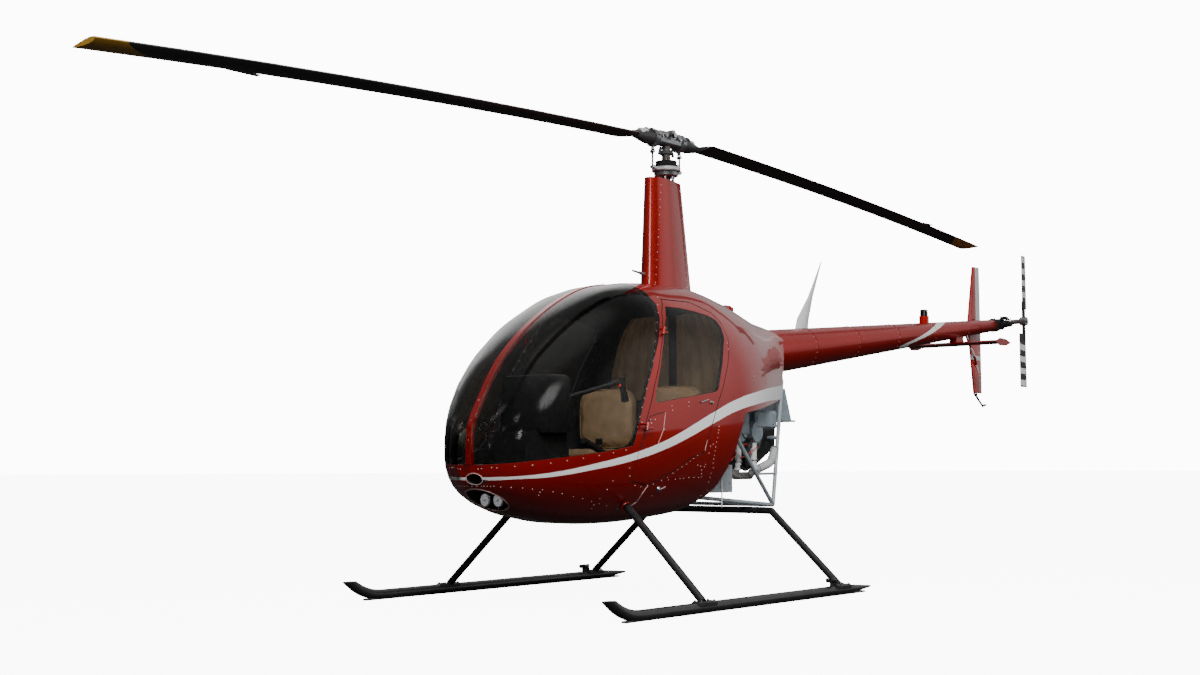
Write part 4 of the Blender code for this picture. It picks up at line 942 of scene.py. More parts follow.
def swell(holder):
    """Remeshes a pad and inflates it a little with cloth pressure."""
    bpy.context.view_layer.objects.active = holder
    modifier = holder.modifiers.new("remesh", "REMESH")
    modifier.mode = "VOXEL"
    modifier.voxel_size = VOXEL
    bake(holder)
    rest = np.array([v.co for v in holder.data.vertices])
    cloth = holder.modifiers.new("cloth", "CLOTH")
    cloth.settings.use_pressure = True
    cloth.settings.uniform_pressure_force = PRESSURE
    cloth.settings.effector_weights.gravity = 0
    scene = bpy.context.scene
    for step in range(1, CLOTH_STEPS + 1):
        scene.frame_set(step)
    bake(holder)
    scene.frame_set(1)
    moved = np.array([v.co for v in holder.data.vertices])
    shift = moved - rest
    length = np.linalg.norm(shift, axis=1, keepdims=True)
    shift *= np.minimum(1, MOST_SWELL / np.maximum(length, 1e-9))
    holder.data.vertices.foreach_set("co", (rest + shift).ravel())
    holder.data.update()


def bake(holder):
    """Applies every modifier to the object's own mesh."""
    graph = bpy.context.evaluated_depsgraph_get()
    graph.update()
    mesh = bpy.data.meshes.new_from_object(holder.evaluated_get(graph))
    holder.modifiers.clear()
    holder.data = mesh


def edge_piping(name, low, high):
    """A thin welt round the front face of a seat back."""
    kit = Kit()
    middle = (low + high) / 2
    half = (high - low) / 2
    line = []
    for step in range(64):
        turn = 2 * math.pi * step / 64
        across, rise = math.cos(turn), math.sin(turn)
        level = (abs(across) ** BACK_POWER + abs(rise) ** BACK_POWER) ** (-1 / BACK_POWER)
        line.append(Vector((middle.x + across * level * half.x * WELT_SHARE, low.y + half.y * 0.42,
                            middle.z + rise * level * half.z * WELT_SHARE)))
    line.append(line[0])
    kit.tube(line, 0.0035, 8)
    kit.make(name + "_piping", "tan_leather", "airframe", 60)


def build_seats():
    for side in ("port", "starboard"):
        for kind, power, pleats in (("seat_cushion", CUSHION_POWER, 2), ("seat_back", BACK_POWER, 0)):
            name = f"{kind}_{side}"
            low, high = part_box(name)
            inset = Vector((0.006, 0.003, 0.003))
            pad = soft_pad(name + "_pad", low + inset, high - inset, power, pleats)
            swell(pad)
            smooth(pad.data, 70)
            pad.data.materials.append(MATS["tan_leather"])
            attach(pad, "airframe")
            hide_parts(name)
            if kind == "seat_back":
                edge_piping(name, low + inset, high - inset)
            set_material(name, "tan_leather")


# Stage


# The floor and backdrop are bright to the camera only; reflections and bounced light see a dim floor and LOBES
FLOOR_GLOW = 9.0
BACKDROP = 15.0
FLOOR_RADIUS = 90
FLOOR_SIDES = 96
# Soft sources around the studio: direction, inner and outer angle in degrees, strength
LOBES = (
    ((0, 0, 1), 20, 100, 0.27),
    ((0, 0, -1), 0, 95, 0.05),
    ((0.10, -0.15, 1.0), 12, 34, 1.0),
    ((0.80, -0.45, 0.62), 4, 12, 9.0),
    ((0.57, -0.80, 0.20), 2, 6, 15.0),
    ((0.35, -0.90, 0.55), 2, 6, 5.0),
    ((-0.30, -0.85, 0.75), 2, 6, 2.6),
    ((0.85, 0.66, 0.22), 6, 30, 0.9),
    ((0.0, 1.0, 0.30), 8, 42, 0.6),
    ((-0.75, 0.50, 0.45), 5, 25, 1.8),
)


def build_stage():
    mesh = bpy.data.meshes.new("floor")
    turns = [2 * math.pi * k / FLOOR_SIDES for k in range(FLOOR_SIDES)]
    ring = [(FLOOR_RADIUS * math.cos(turn), FLOOR_RADIUS * math.sin(turn), 0) for turn in turns]
    mesh.from_pydata(ring, [], [list(range(FLOOR_SIDES))])
    floor = new_object("floor", mesh)
    shade = Shade("pale_floor")
    shade.colour(shade.mix(shade.ramp(shade.noise(0.6, 3), 0.3, 0.7, 0, 1), (0.86, 0.86, 0.86),
                           (0.90, 0.90, 0.90)))
    shade.set(Roughness=0.8, Specular_IOR_Level=0.1, Emission_Color=(1, 1, 1), Emission_Strength=FLOOR_GLOW)
    dim = shade.add("ShaderNodeBsdfDiffuse")
    dim.inputs[0].default_value = (0.035, 0.035, 0.035, 1)
    pick_shader(shade, "Is Camera Ray", dim.outputs[0], shade.main.outputs[0])
    mesh.materials.append(shade.material)

    world = bpy.data.worlds.new("studio")
    bpy.context.scene.world = world
    world.use_nodes = True
    tree = world.node_tree
    tree.nodes.clear()
    out = tree.nodes.new("ShaderNodeOutputWorld")
    sky = tree.nodes.new("ShaderNodeBackground")
    tree.links.new(sky.outputs[0], out.inputs[0])
    spot = tree.nodes.new("ShaderNodeTexCoord").outputs["Generated"]
    total = None
    for towards, inner, outer, strength in LOBES:
        dot = tree.nodes.new("ShaderNodeVectorMath")
        dot.operation = "DOT_PRODUCT"
        dot.inputs[1].default_value = Vector(towards).normalized()
        tree.links.new(spot, dot.inputs[0])
        fade = tree.nodes.new("ShaderNodeMapRange")
        fade.interpolation_type = "SMOOTHSTEP"
        fade.inputs["From Min"].default_value = math.cos(math.radians(outer))
        fade.inputs["From Max"].default_value = math.cos(math.radians(inner))
        fade.inputs["To Max"].default_value = strength
        tree.links.new(dot.outputs["Value"], fade.inputs["Value"])
        if total is None:
            total = fade.outputs[0]
        else:
            plus = tree.nodes.new("ShaderNodeMath")
            tree.links.new(total, plus.inputs[0])
            tree.links.new(fade.outputs[0], plus.inputs[1])
            total = plus.outputs[0]
    path = tree.nodes.new("ShaderNodeLightPath")
    pick = tree.nodes.new("ShaderNodeMix")
    tree.links.new(path.outputs["Is Camera Ray"], pick.inputs[0])
    tree.links.new(total, pick.inputs[2])
    pick.inputs[3].default_value = BACKDROP
    tree.links.new(pick.outputs[0], sky.inputs[1])


def lamp(name, place, target, size, power):
    """A soft rectangular light that is felt but not seen."""
    data = bpy.data.lights.new(name, "AREA")
    data.shape = "RECTANGLE"
    data.size = size[0]
    data.size_y = size[1]
    data.energy = power
    holder = new_object(name, data)
    holder.location = place
    holder.rotation_euler = (Vector(target) - Vector(place)).to_track_quat("-Z", "Y").to_euler()
    holder.visible_camera = False
    holder.visible_glossy = False
    holder.visible_transmission = False


def build_lights():
    lamp("key_light", (6.0, -6.0, 8.0), (0, 0, 1.2), (3.0, 3.0), 900)
    lamp("fill_light", (8.0, -2.0, 2.6), (0, 0, 1.2), (3.0, 2.0), 120)
    lamp("cabin_light", (0.10, -1.45, 1.42), (0, -0.5, 0.9), (0.4, 0.2), 5)


# Places along lines


def trail(pixels, names, steps):
    """Surface points under a line drawn on the photograph."""
    found = []
    for (x0, y0), (x1, y1) in zip(pixels, pixels[1:]):
        for k in range(steps):
            share = k / steps
            hit = seen(x0 + (x1 - x0) * share, y0 + (y1 - y0) * share, *names)
            if hit:
                found.append(hit)
    hit = seen(*pixels[-1], *names)
    if hit:
        found.append(hit)
    return found


def loop_points(points, steps=6):
    """A smooth line through the points."""
    points = [Vector(p) for p in points]
    last = len(points) - 1
    result = []
    for i in range(last):
        before = points[max(i - 1, 0)]
        here = points[i]
        after = points[i + 1]
        later = points[min(i + 2, last)]
        square = 2 * before - 5 * here + 4 * after - later
        cube = 3 * here - before - 3 * after + later
        for k in range(steps):
            t = k / steps
            result.append(0.5 * (2 * here + (after - before) * t + square * t * t + cube * t ** 3))
    result.append(points[last])
    return result


# Small solids gathered into one piece


def circle(centre, across, other, radius, sides):
    """Points round a centre, in the plane of two directions."""
    turns = [2 * math.pi * k / sides for k in range(sides)]
    return [centre + across * math.cos(turn) * radius + other * math.sin(turn) * radius for turn in turns]


class Kit:
    """Collects closed solids and makes one object of them."""

    def __init__(self):
        self.points = []
        self.faces = []

    def add(self, points, faces):
        start = len(self.points)
        self.points.extend(Vector(p) for p in points)
        self.faces.extend(tuple(start + i for i in face) for face in faces)

    def rings(self, rings, closed=False):
        """Skins equal rings of points one after another; open ends are capped."""
        count = len(rings[0])
        points = [p for ring in rings for p in ring]
        faces = []
        last = len(rings) if closed else len(rings) - 1
        for i in range(last):
            here = i * count
            there = ((i + 1) % len(rings)) * count
            for k in range(count):
                other = (k + 1) % count
                faces.append((here + k, here + other, there + other, there + k))
        if not closed:
            faces.append(tuple(reversed(range(count))))
            faces.append(tuple((len(rings) - 1) * count + k for k in range(count)))
        self.add(points, faces)

    def tube(self, points, radius, sides):
        """Round bar along a line; radius is a number or one for each point."""
        points = [Vector(p) for p in points]
        radii = radius if isinstance(radius, list) else [radius] * len(points)
        up = None
        rings = []
        for i, point in enumerate(points):
            before = points[max(i - 1, 0)]
            after = points[min(i + 1, len(points) - 1)]
            along = (after - before).normalized()
            if up is None:
                up = along.orthogonal() if abs(along.z) > 0.9 else Vector((0, 0, 1))
            up = (up - along * up.dot(along)).normalized()
            rings.append(circle(point, along.cross(up), up, radii[i], sides))
        self.rings(rings)

    def lathe(self, foot, axis, profile, sides=24):
        """Turned solid: profile rows are (distance along the axis, radius)."""
        foot = Vector(foot)
        axis = Vector(axis).normalized()
        across = axis.orthogonal().normalized()
        other = axis.cross(across)
        self.rings([circle(foot + axis * along, across, other, radius, sides) for along, radius in profile])

    def torus(self, centre, axis, radius, thick, sides=32, around=10):
        centre = Vector(centre)
        axis = Vector(axis).normalized()
        across = axis.orthogonal().normalized()
        other = axis.cross(across)
        rings = []
        for k in range(sides):
            turn = 2 * math.pi * k / sides
            spoke = across * math.cos(turn) + other * math.sin(turn)
            rings.append([centre + spoke * (radius + thick * math.cos(2 * math.pi * j / around))
                          + axis * thick * math.sin(2 * math.pi * j / around) for j in range(around)])
        self.rings(rings, closed=True)

    def block(self, centre, axes, size, edge=0.0):
        """Box with chamfered edges: axes are three directions, size the full lengths."""
        centre = Vector(centre)
        x, y, z = (Vector(a).normalized() for a in axes)
        hx, hy, hz = (v / 2 for v in size)
        edge = min(edge, hx * 0.9, hy * 0.9, hz * 0.9)
        rings = []
        for level, inset in ((-hz, edge), (-hz + edge, 0), (hz - edge, 0), (hz, edge)):
            ring = []
            for sx, sy in ((1, 1), (-1, 1), (-1, -1), (1, -1)):
                first = (sx * (hx - inset), sy * (hy - inset - edge))
                second = (sx * (hx - inset - edge), sy * (hy - inset))
                pair = (first, second) if sx * sy > 0 else (second, first)
                ring.extend(centre + x * px + y * py + z * level for px, py in pair)
            rings.append(ring)
        self.rings(rings)

    def dome(self, point, normal, radius, height, sides=8):
        """One low rivet head."""
        normal = normal.normalized()
        across = normal.orthogonal().normalized()
        other = normal.cross(across)
        points = []
        for level, share in ((-0.3, 1.0), (0.45, 0.86), (0.9, 0.45)):
            for k in range(sides):
                turn = 2 * math.pi * k / sides
                spoke = across * math.cos(turn) + other * math.sin(turn)
                points.append(point + spoke * radius * share + normal * height * level)
        points.append(point + normal * height)
        faces = []
        for ring in range(2):
            for k in range(sides):
                a = ring * sides + k
                b = ring * sides + (k + 1) % sides
                faces.append((a, b, b + sides, a + sides))
        top = len(points) - 1
        faces.extend((2 * sides + k, 2 * sides + (k + 1) % sides, top) for k in range(sides))
        faces.append(tuple(reversed(range(sides))))
        self.add(points, faces)

    def hexagon(self, foot, axis, radius, height):
        self.lathe(foot, axis, ((0, radius), (height * 0.85, radius), (height, radius * 0.86)), 6)

    def make(self, name, material, body, angle=35):
        work = bmesh.new()
        verts = [work.verts.new(p) for p in self.points]
        for face in self.faces:
            try:
                work.faces.new([verts[i] for i in face])
            except ValueError:
                continue
        bmesh.ops.recalc_face_normals(work, faces=work.faces)
        mesh = bpy.data.meshes.new(name)
        work.to_mesh(mesh)
        work.free()
        holder = new_object(name, mesh)
        smooth(mesh, angle)
        mesh.materials.append(MATS[material])
        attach(holder, body)


# Lines drawn on the photograph, laid on the surface as thin raised strips


def ribbon(kit, found, width, height):
    """A low strip along a trail of surface points."""
    found = [hit for i, hit in enumerate(found) if i == 0 or (hit[0] - found[i - 1][0]).length < 0.12]
    if len(found) < 3:
        return
    rings = []
    for i, (point, normal) in enumerate(found):
        before = found[max(i - 1, 0)][0]
        after = found[min(i + 1, len(found) - 1)][0]
        along = (after - before).normalized()
        side = normal.cross(along).normalized() * width / 2
        low = point - normal * 0.0015
        high = point + normal * height
        rings.append([low - side, low + side, high + side * 0.6, high - side * 0.6])
    kit.rings(rings)


def both_sides(name, build, material, slot, body_port, body_starboard, angle=35):
    """Makes a kit on the port side and its mirror image on the other."""
    kit = Kit()
    build(kit)
    if not kit.points:
        return
    kit.make(name + "_port", material, body_port, angle)
    twin = Kit()
    twin.points = [Vector((-p.x, p.y, p.z)) for p in kit.points]
    twin.faces = kit.faces
    twin.make(name + "_starboard", material, body_starboard, angle)


DOOR_BODIES = ("door_port", "door_starboard")
FRAME_BODIES = ("airframe", "airframe")


def smooth_hit(hit, names):
    """The same spot on the outline as the piece there has it, with the outline's normal."""
    point, _ = hit
    row = np.array([point])
    moved = row if all(name in UNMOVED for name in names) else smoothed(row)
    return Vector(moved[0]), Vector(outline_normals(moved)[0])


def spots_at(pixels, *names):
    return [smooth_hit(hit, names) for hit in (seen(x, y, *names) for x, y in pixels) if hit]


def line_at(pixels, *names, steps=10):
    return [smooth_hit(hit, names) for hit in trail(pixels, names, steps)]


# Single rivets as seen on the photograph
NOSE_ROW = ((451.9, 467.7), (460.3, 469.1), (481.4, 468.7), (496.8, 468.0), (514.8, 466.6), (532.5, 465.2),
            (550.7, 463.1), (567.0, 460.7), (583.0, 458.2), (599.0, 455.5), (613.0, 452.8), (626.0, 450.0))
CHIN_ROW = ((459.6, 486.2), (463.0, 486.2), (467.0, 486.0), (471.6, 486.2), (476.2, 486.2), (481.5, 486.4),
            (487.1, 486.4), (493.9, 486.4), (500.6, 487.1), (511.0, 487.4), (522.5, 488.1), (532.2, 488.9),
            (542.4, 489.9), (552.7, 491.7), (562.1, 493.7), (572.9, 496.3), (582.6, 498.6), (591.1, 501.3),
            (599.0, 503.5), (606.8, 505.9), (617.1, 508.4))
HULL_SPOTS = ((539.9, 492.3), (538.6, 495.4), (599.5, 498.2), (593.6, 504.6), (591.5, 508.4), (606.7, 489.3),
              (612.7, 480.6), (629.4, 468.0), (629.6, 476.1), (630.8, 481.5), (634.9, 485.3), (640.6, 486.7),
              (471.8, 500.2), (483.5, 509.3), (502.6, 509.0), (502.8, 502.6), (490.8, 492.4), (478.3, 490.7),
              (668.4, 479.7), (675.3, 479.4), (680.0, 478.6), (683.6, 478.3), (688.7, 477.5), (693.6, 477.5),
              (698.5, 477.4), (701.4, 476.9), (697.6, 465.0), (700.6, 466.1), (701.4, 470.2), (701.4, 473.7),
              (705.4, 464.5), (704.4, 466.7), (713.3, 444.3), (710.5, 446.4), (708.9, 453.1), (706.5, 490.4),
              (700.5, 495.5), (697.5, 498.0), (651.5, 495.5), (661.5, 480.5), (653.0, 484.0), (667.4, 477.5),
              (672.8, 473.3), (677.5, 469.6), (682.1, 467.0), (686.4, 464.2), (690.1, 461.2), (693.4, 458.5),
              (697.7, 455.5), (700.7, 453.3))
REAR_ROW = ((719.0, 426.5), (718.6, 430.0), (718.3, 433.0), (717.4, 437.5), (716.5, 442.0), (715.6, 447.0),
            (715.0, 451.0), (714.3, 455.5), (713.6, 459.0), (713.0, 463.0), (713.2, 468.0), (710.8, 473.3),
            (709.8, 477.5), (708.5, 482.0))
COWL_SPOTS = ((734.0, 359.0), (734.6, 364.0), (735.2, 369.0), (735.8, 374.0), (736.4, 379.0), (737.0, 384.0),
              (737.4, 389.0), (761.0, 372.5), (753.5, 376.5), (745.0, 379.5), (737.5, 382.5), (730.0, 385.5),
              (779.5, 357.0), (781.0, 363.0))
POST_SPOTS = ((657.6, 297.0), (657.9, 304.8), (657.9, 312.8), (657.0, 322.5), (656.3, 331.0), (655.4, 341.5),
              (654.2, 351.0), (652.8, 360.5), (650.6, 370.0), (648.6, 379.5), (646.6, 388.8), (644.3, 398.0),
              (642.0, 407.5), (639.8, 417.0), (637.5, 427.0))
DOOR_SPOTS = ((671.9, 406.0), (672.5, 410.2), (689.1, 402.0), (689.0, 406.3), (727.0, 343.0), (728.3, 349.0),
              (728.9, 355.0), (728.4, 361.0), (727.3, 367.0), (726.0, 373.5), (724.8, 380.0), (723.5, 386.5),
              (722.3, 393.0), (721.3, 399.5), (720.5, 407.0), (655.5, 419.6), (651.5, 423.0), (664.5, 429.3))
CENTRE_SPOTS = ((627.0, 285.3), (606.0, 287.0), (584.0, 292.5), (562.0, 301.5), (542.0, 313.0),
                (524.0, 327.0), (508.0, 343.0), (494.5, 361.0), (484.5, 380.0), (477.5, 400.0),
                (473.0, 420.0), (469.8, 440.0), (468.3, 456.0))


# Rivet heads are real domes; their pale colour is a painted glint
def build_rivets():
    groups = (
        ("sill", NOSE_ROW, ("hull_lower", "cabin_frame"), FRAME_BODIES),
        ("chin", CHIN_ROW, ("hull_lower",), FRAME_BODIES),
        ("hull", HULL_SPOTS, ("hull_lower",), FRAME_BODIES),
        ("rear_line", REAR_ROW, ("hull_lower",), FRAME_BODIES),
        ("cowl", COWL_SPOTS, ("cowl_aft",), FRAME_BODIES),
        ("post", POST_SPOTS, ("cabin_frame",), FRAME_BODIES),
        ("door", DOOR_SPOTS, ("door_port",), DOOR_BODIES),
    )
    for name, pixels, nodes, bodies in groups:
        spots = spots_at(pixels, *nodes)

        def build(kit):
            for point, normal in spots:
                kit.dome(point - normal * 0.0004, normal, 0.0038, 0.0025)

        both_sides(f"rivets_{name}", build, "rivet", "red_paint", *bodies, angle=50)
    kit = Kit()
    for point, normal in spots_at(CENTRE_SPOTS, "centre_post"):
        hit = seen_above(point)
        if hit:
            kit.dome(hit[0], hit[1], 0.0032, 0.0016)
    kit.make("rivets_centre_post", "rivet", "airframe", 50)


def seen_above(point):
    """The centre post's outer face on the middle plane, nearest to a point."""
    found, _, _, away = tree_of(("centre_post",)).find_nearest(Vector((0, point.y, point.z)))
    if found is None or away > 0.05:
        return None
    outward = Vector(outline_normals(np.array([found]))[0])
    return found, outward


def bolt(kit, hit, radius, height=None):
    if hit:
        kit.hexagon(hit[0] - hit[1] * 0.001, hit[1], radius, height or radius * 0.8)


# Rotor head

# Turned profiles: distance along the axis, radius
SLEEVE_PROFILE = ((0, 0.030), (0.004, 0.032), (0.020, 0.032), (0.024, 0.029), (0.060, 0.029), (0.066, 0.024))
STUD_PROFILE = ((0, 0.006), (0.012, 0.006), (0.013, 0.009), (0.024, 0.009), (0.025, 0.005), (0.044, 0.005))
ROD_END_PROFILE = ((0, 0.007), (0.004, 0.010), (0.028, 0.010), (0.032, 0.007))
COLLAR_PROFILE = ((0, 0.040), (0.010, 0.040), (0.012, 0.034), (0.022, 0.034))
HUB_Z = 2.689
BOOT_Z = 2.688
SLEEVE_Z = 2.687
# Bolts on the hub's sides: distance from the mast axis, height, radius
HUB_BOLTS = ((0, 2.700, 0.018), (0.085, HUB_Z, 0.013), (-0.085, HUB_Z, 0.013), (0.125, HUB_Z, 0.008),
             (-0.125, HUB_Z, 0.008))
# Ends of the pitch links
LINK_Y = 0.130
LINK_Z = (2.592, 2.500)


def build_rotor_head():
    bolts = Kit()
    boots = Kit()
    sleeves = Kit()
    for side in (1, -1):
        for away, level, radius in HUB_BOLTS:
            hit = touch((side * 0.3, MAST_Y + away, level), (-side, 0, 0), "rotor_hub")
            bolt(bolts, hit, radius, radius * 0.75)
            if hit:
                bolts.lathe(hit[0] - hit[1] * 0.001, hit[1], ((0, radius * 1.3), (0.003, radius * 1.3)), 20)
        for step in range(5):
            reach = MAST_Y + side * (0.150 + 0.009 * step)
            boots.torus((0, reach, BOOT_Z), (0, 1, 0), 0.030 - 0.001 * (step % 2), 0.0055, 28, 8)
        sleeves.lathe((0, MAST_Y + side * 0.193, SLEEVE_Z), (0, side, 0), SLEEVE_PROFILE, 28)
        hit = touch((0, MAST_Y + side * 0.05, 3.0), (0, 0, -1), "rotor_hub")
        bolt(bolts, hit, 0.010)
        for level in LINK_Z:
            bolts.lathe((-0.016, MAST_Y + side * LINK_Y, level), (1, 0, 0), ROD_END_PROFILE, 16)
        for reach, radius in ((0.146, 0.040), (0.197, 0.036)):
            bolts.torus((0, MAST_Y + side * reach, BOOT_Z), (0, 1, 0), radius, 0.0045, 32, 8)
    for turn in range(6):
        angle = math.pi * turn / 3
        spot = Vector((0.046 * math.cos(angle), MAST_Y + 0.046 * math.sin(angle), 2.432))
        bolts.lathe(spot, (0, 0, 1), STUD_PROFILE, 12)
    bolts.make("rotor_head_bolts", "chrome", "main_rotor")
    collar = Kit()
    collar.lathe((0, MAST_Y, 2.592), (0, 0, 1), COLLAR_PROFILE, 32)
    for side in (1, -1):
        foot, top = (0, MAST_Y + side * 0.068, 2.585), (0, MAST_Y + side * 0.052, 2.628)
        collar.tube([foot, top], 0.009, 12)
    collar.make("mast_collar", "dark_engine", "main_rotor")
    boots.make("rotor_head_boots", "rubber", "main_rotor", 60)
    sleeves.make("blade_root_sleeves", "duct", "main_rotor")
    rings = Kit()
    for turn in range(8):
        angle = math.pi * (turn + 0.5) / 4
        spot = (0.076 * math.cos(angle), MAST_Y + 0.076 * math.sin(angle), 2.6)
        bolt(rings, touch(spot, (0, 0, -1), "swashplate_turning"), 0.006)
    rings.make("swash_ring_bolts", "chrome", "main_rotor")


# Lamps and nose openings

LAMP_X = (-0.052, 0.042)
LAMP_Z = 0.562
AHEAD_OF_NOSE = -3.0
OVAL_SIDES = 56
# Rims: middle x and z, half width and half height
LAMP_RIM = (0.0, 0.564, 0.124, 0.057)
VENT_RIM = (0.030, 0.672, 0.055, 0.029)
BOWL_PROFILE = ((0, 0.031), (0.0032, 0.031), (0.0034, 0.020), (0.0040, 0.010))
BULB_PROFILE = ((0, 0.006), (0.005, 0.0055), (0.008, 0.002))
COVER_PROFILE = ((0, 0.0325), (0.003, 0.031), (0.007, 0.022), (0.009, 0.010), (0.0095, 0.001))


def oval(centre_x, centre_z, half_x, half_z):
    """Points of the nose under an oval drawn on it from the front."""
    turns = [2 * math.pi * k / OVAL_SIDES for k in range(OVAL_SIDES + 1)]
    starts = [(centre_x + half_x * math.cos(turn), AHEAD_OF_NOSE, centre_z + half_z * math.sin(turn))
              for turn in turns]
    hits = [touch(start, (0, 1, 0), "hull_lower") for start in starts]
    return [hit for hit in hits if hit]


def build_lamps():
    rim = Kit()
    ribbon(rim, oval(*LAMP_RIM), 0.009, 0.0022)
    ribbon(rim, oval(*VENT_RIM), 0.006, 0.0016)
    # The rims take the pale rivet paint, a painted glint along their edges
    rim.make("nose_opening_rims", "rivet", "airframe", 50)
    shine = Kit()
    glow = Kit()
    cover = Kit()
    bowl = Kit()
    for x in LAMP_X:
        hit = touch((x, AHEAD_OF_NOSE, LAMP_Z), (0, 1, 0), "landing_lamps")
        if not hit:
            continue
        face = hit[0] + Vector((0, -0.001, 0))
        shine.torus(face, (0, 1, 0), 0.0335, 0.0028, 36, 10)
        for kit, shift, profile, sides in ((bowl, 0.003, BOWL_PROFILE, 36), (glow, -0.001, BULB_PROFILE, 16),
                                           (cover, -0.0042, COVER_PROFILE, 36)):
            kit.lathe(face + Vector((0, shift, 0)), (0, -1, 0), profile, sides)
        for turn in range(3):
            angle = math.radians(30 + 120 * turn)
            spot = face + Vector((0.040 * math.cos(angle), 0.004, 0.040 * math.sin(angle)))
            shine.hexagon(spot, (0, -1, 0), 0.004, 0.005)
    # The lamp bowls take the faint painted glow that stands in for their chrome's reflection
    bowl.make("lamp_bowls", "lamp_bowl", "airframe")
    shine.make("lamp_reflectors", "chrome", "airframe")
    glow.make("lamp_bulbs", "white_plastic", "airframe")
    cover.make("lamp_glasses", "lamp_glass", "airframe", 60)


# Door, hull and skid fittings

# Places on the photograph
DOOR_KNOB = (711.4, 402.6)
DOOR_LATCH = ((700.5, 402.5), (708.0, 399.6))
HINGE_PINS = ((641.5, 422.5), (650.5, 420.0))
HINGE_STRIP = ((649.5, 417.5), (641.0, 449.7))
PANEL_TOP = ((649.6, 416.6), (657.0, 414.0), (665.5, 412.0))
PANEL_REAR = ((665.5, 412.0), (663.6, 429.3), (657.0, 446.6))
# The door's lower seam carries a pale line, a painted highlight
SEAM_HIGHLIGHT = ((707.6, 439.5), (705.0, 450.4))
STEP_SOCKET = (657.9, 488.6)
SOCKET_FLARE = ((658.0, 490.0), (665.5, 486.7))
STRUT_LINE = ((647.7, 485.3), (642.0, 493.7), (636.4, 502.0), (625.9, 509.0))
CHIN_LINE = ((505.0, 515.0), (503.0, 522.0))
DRAINS = ((544.0, 526.0), (565.0, 527.0))
KNOB_PROFILE = ((0, 0.011), (0.004, 0.011), (0.007, 0.0088), (0.013, 0.00792), (0.016, 0.0044))
SOCKET_PROFILE = ((0, 0.016), (0.004, 0.015), (0.008, 0.012), (0.018, 0.011), (0.021, 0.007))
# Struts meet the skids at these Y from the mast, and the front pair leaves the hull at this Y of the part
STRUT_Y = (-0.898, 0.391)
CUFF_Y = -1.2085
SKID_X = 0.925


def along_line(line, share):
    (x0, y0), (x1, y1) = line
    return x0 + (x1 - x0) * share, y0 + (y1 - y0) * share


def build_door_fittings():
    # Pale raised lines on the door's rear panel edge and lower seam: real edges whose pale colour is a painted
    # highlight
    def door_highlight_lines(kit):
        ribbon(kit, line_at(PANEL_REAR, "door_port"), 0.004, 0.0012)
        ribbon(kit, line_at(SEAM_HIGHLIGHT, "door_port", "hull_lower"), 0.003, 0.0010)

    def dark_line(kit):
        ribbon(kit, line_at(PANEL_TOP, "door_port"), 0.005, 0.0012)
        for first in (0.05, 0.3, 0.55, 0.8):
            slot = [along_line(HINGE_STRIP, share) for share in (first, first + 0.15)]
            ribbon(kit, line_at(slot, "door_port"), 0.006, 0.0014)

    def fittings(kit):
        for point, normal in spots_at((DOOR_KNOB,), "door_port"):
            kit.lathe(point - normal * 0.002, normal, KNOB_PROFILE, 24)
        found = line_at(DOOR_LATCH, "door_port", steps=5)
        if len(found) > 2:
            kit.tube([point + normal * 0.004 for point, normal in found], 0.0045, 10)
        for point, normal in spots_at(HINGE_PINS, "door_port", "cabin_frame", "hull_lower"):
            kit.dome(point, normal, 0.006, 0.005, 12)

    both_sides("door_painted_highlights", door_highlight_lines, "rivet", "red_paint", *DOOR_BODIES, angle=50)
    both_sides("door_dark_line", dark_line, "rubber", "red_paint", *DOOR_BODIES, angle=50)
    both_sides("door_handle", fittings, "chrome", "red_paint", *DOOR_BODIES)


def build_hull_fittings():
    def chrome_item(kit):
        for point, normal in spots_at((STEP_SOCKET,), "hull_lower"):
            kit.lathe(point - normal * 0.002, normal, SOCKET_PROFILE, 24)

    # Pale raised lines along the strut, the step socket's flare and the chin: painted highlights
    def hull_highlight_lines(kit):
        ribbon(kit, line_at(STRUT_LINE, "hull_lower"), 0.008, 0.002)
        ribbon(kit, line_at(SOCKET_FLARE, "hull_lower", steps=6), 0.010, 0.002)
        ribbon(kit, line_at(CHIN_LINE, "hull_lower", steps=5), 0.004, 0.001)

    def pins(kit):
        for point, normal in spots_at(DRAINS, "hull_lower"):
            kit.lathe(point - normal * 0.002, (0, 0, -1), ((0, 0.005), (0.016, 0.005), (0.020, 0.003)), 12)

    both_sides("step_socket", chrome_item, "chrome", "red_paint", *FRAME_BODIES)
    both_sides("hull_painted_highlights", hull_highlight_lines, "rivet", "red_paint", *FRAME_BODIES, angle=50)
    both_sides("drain_pins", pins, "bare_metal", "red_paint", *FRAME_BODIES)

    def cuffs(kit):
        for step in range(5):
            x = 0.35 + 0.05 * step
            spot = touch((x, CUFF_Y, 0.0), (0, 0, 1), "cross_tube_front")
            nose = touch((x, CUFF_Y, 0.0), (0, 0, 1), "hull_lower")
            if spot and nose and spot[0].z < nose[0].z - 0.01:
                kit.torus(spot[0] + Vector((0, 0, 0.022)), (0.8, 0, -0.6), 0.024, 0.005, 28, 8)
                break

    both_sides("strut_cuff", cuffs, "red_paint", "red_paint", *FRAME_BODIES)


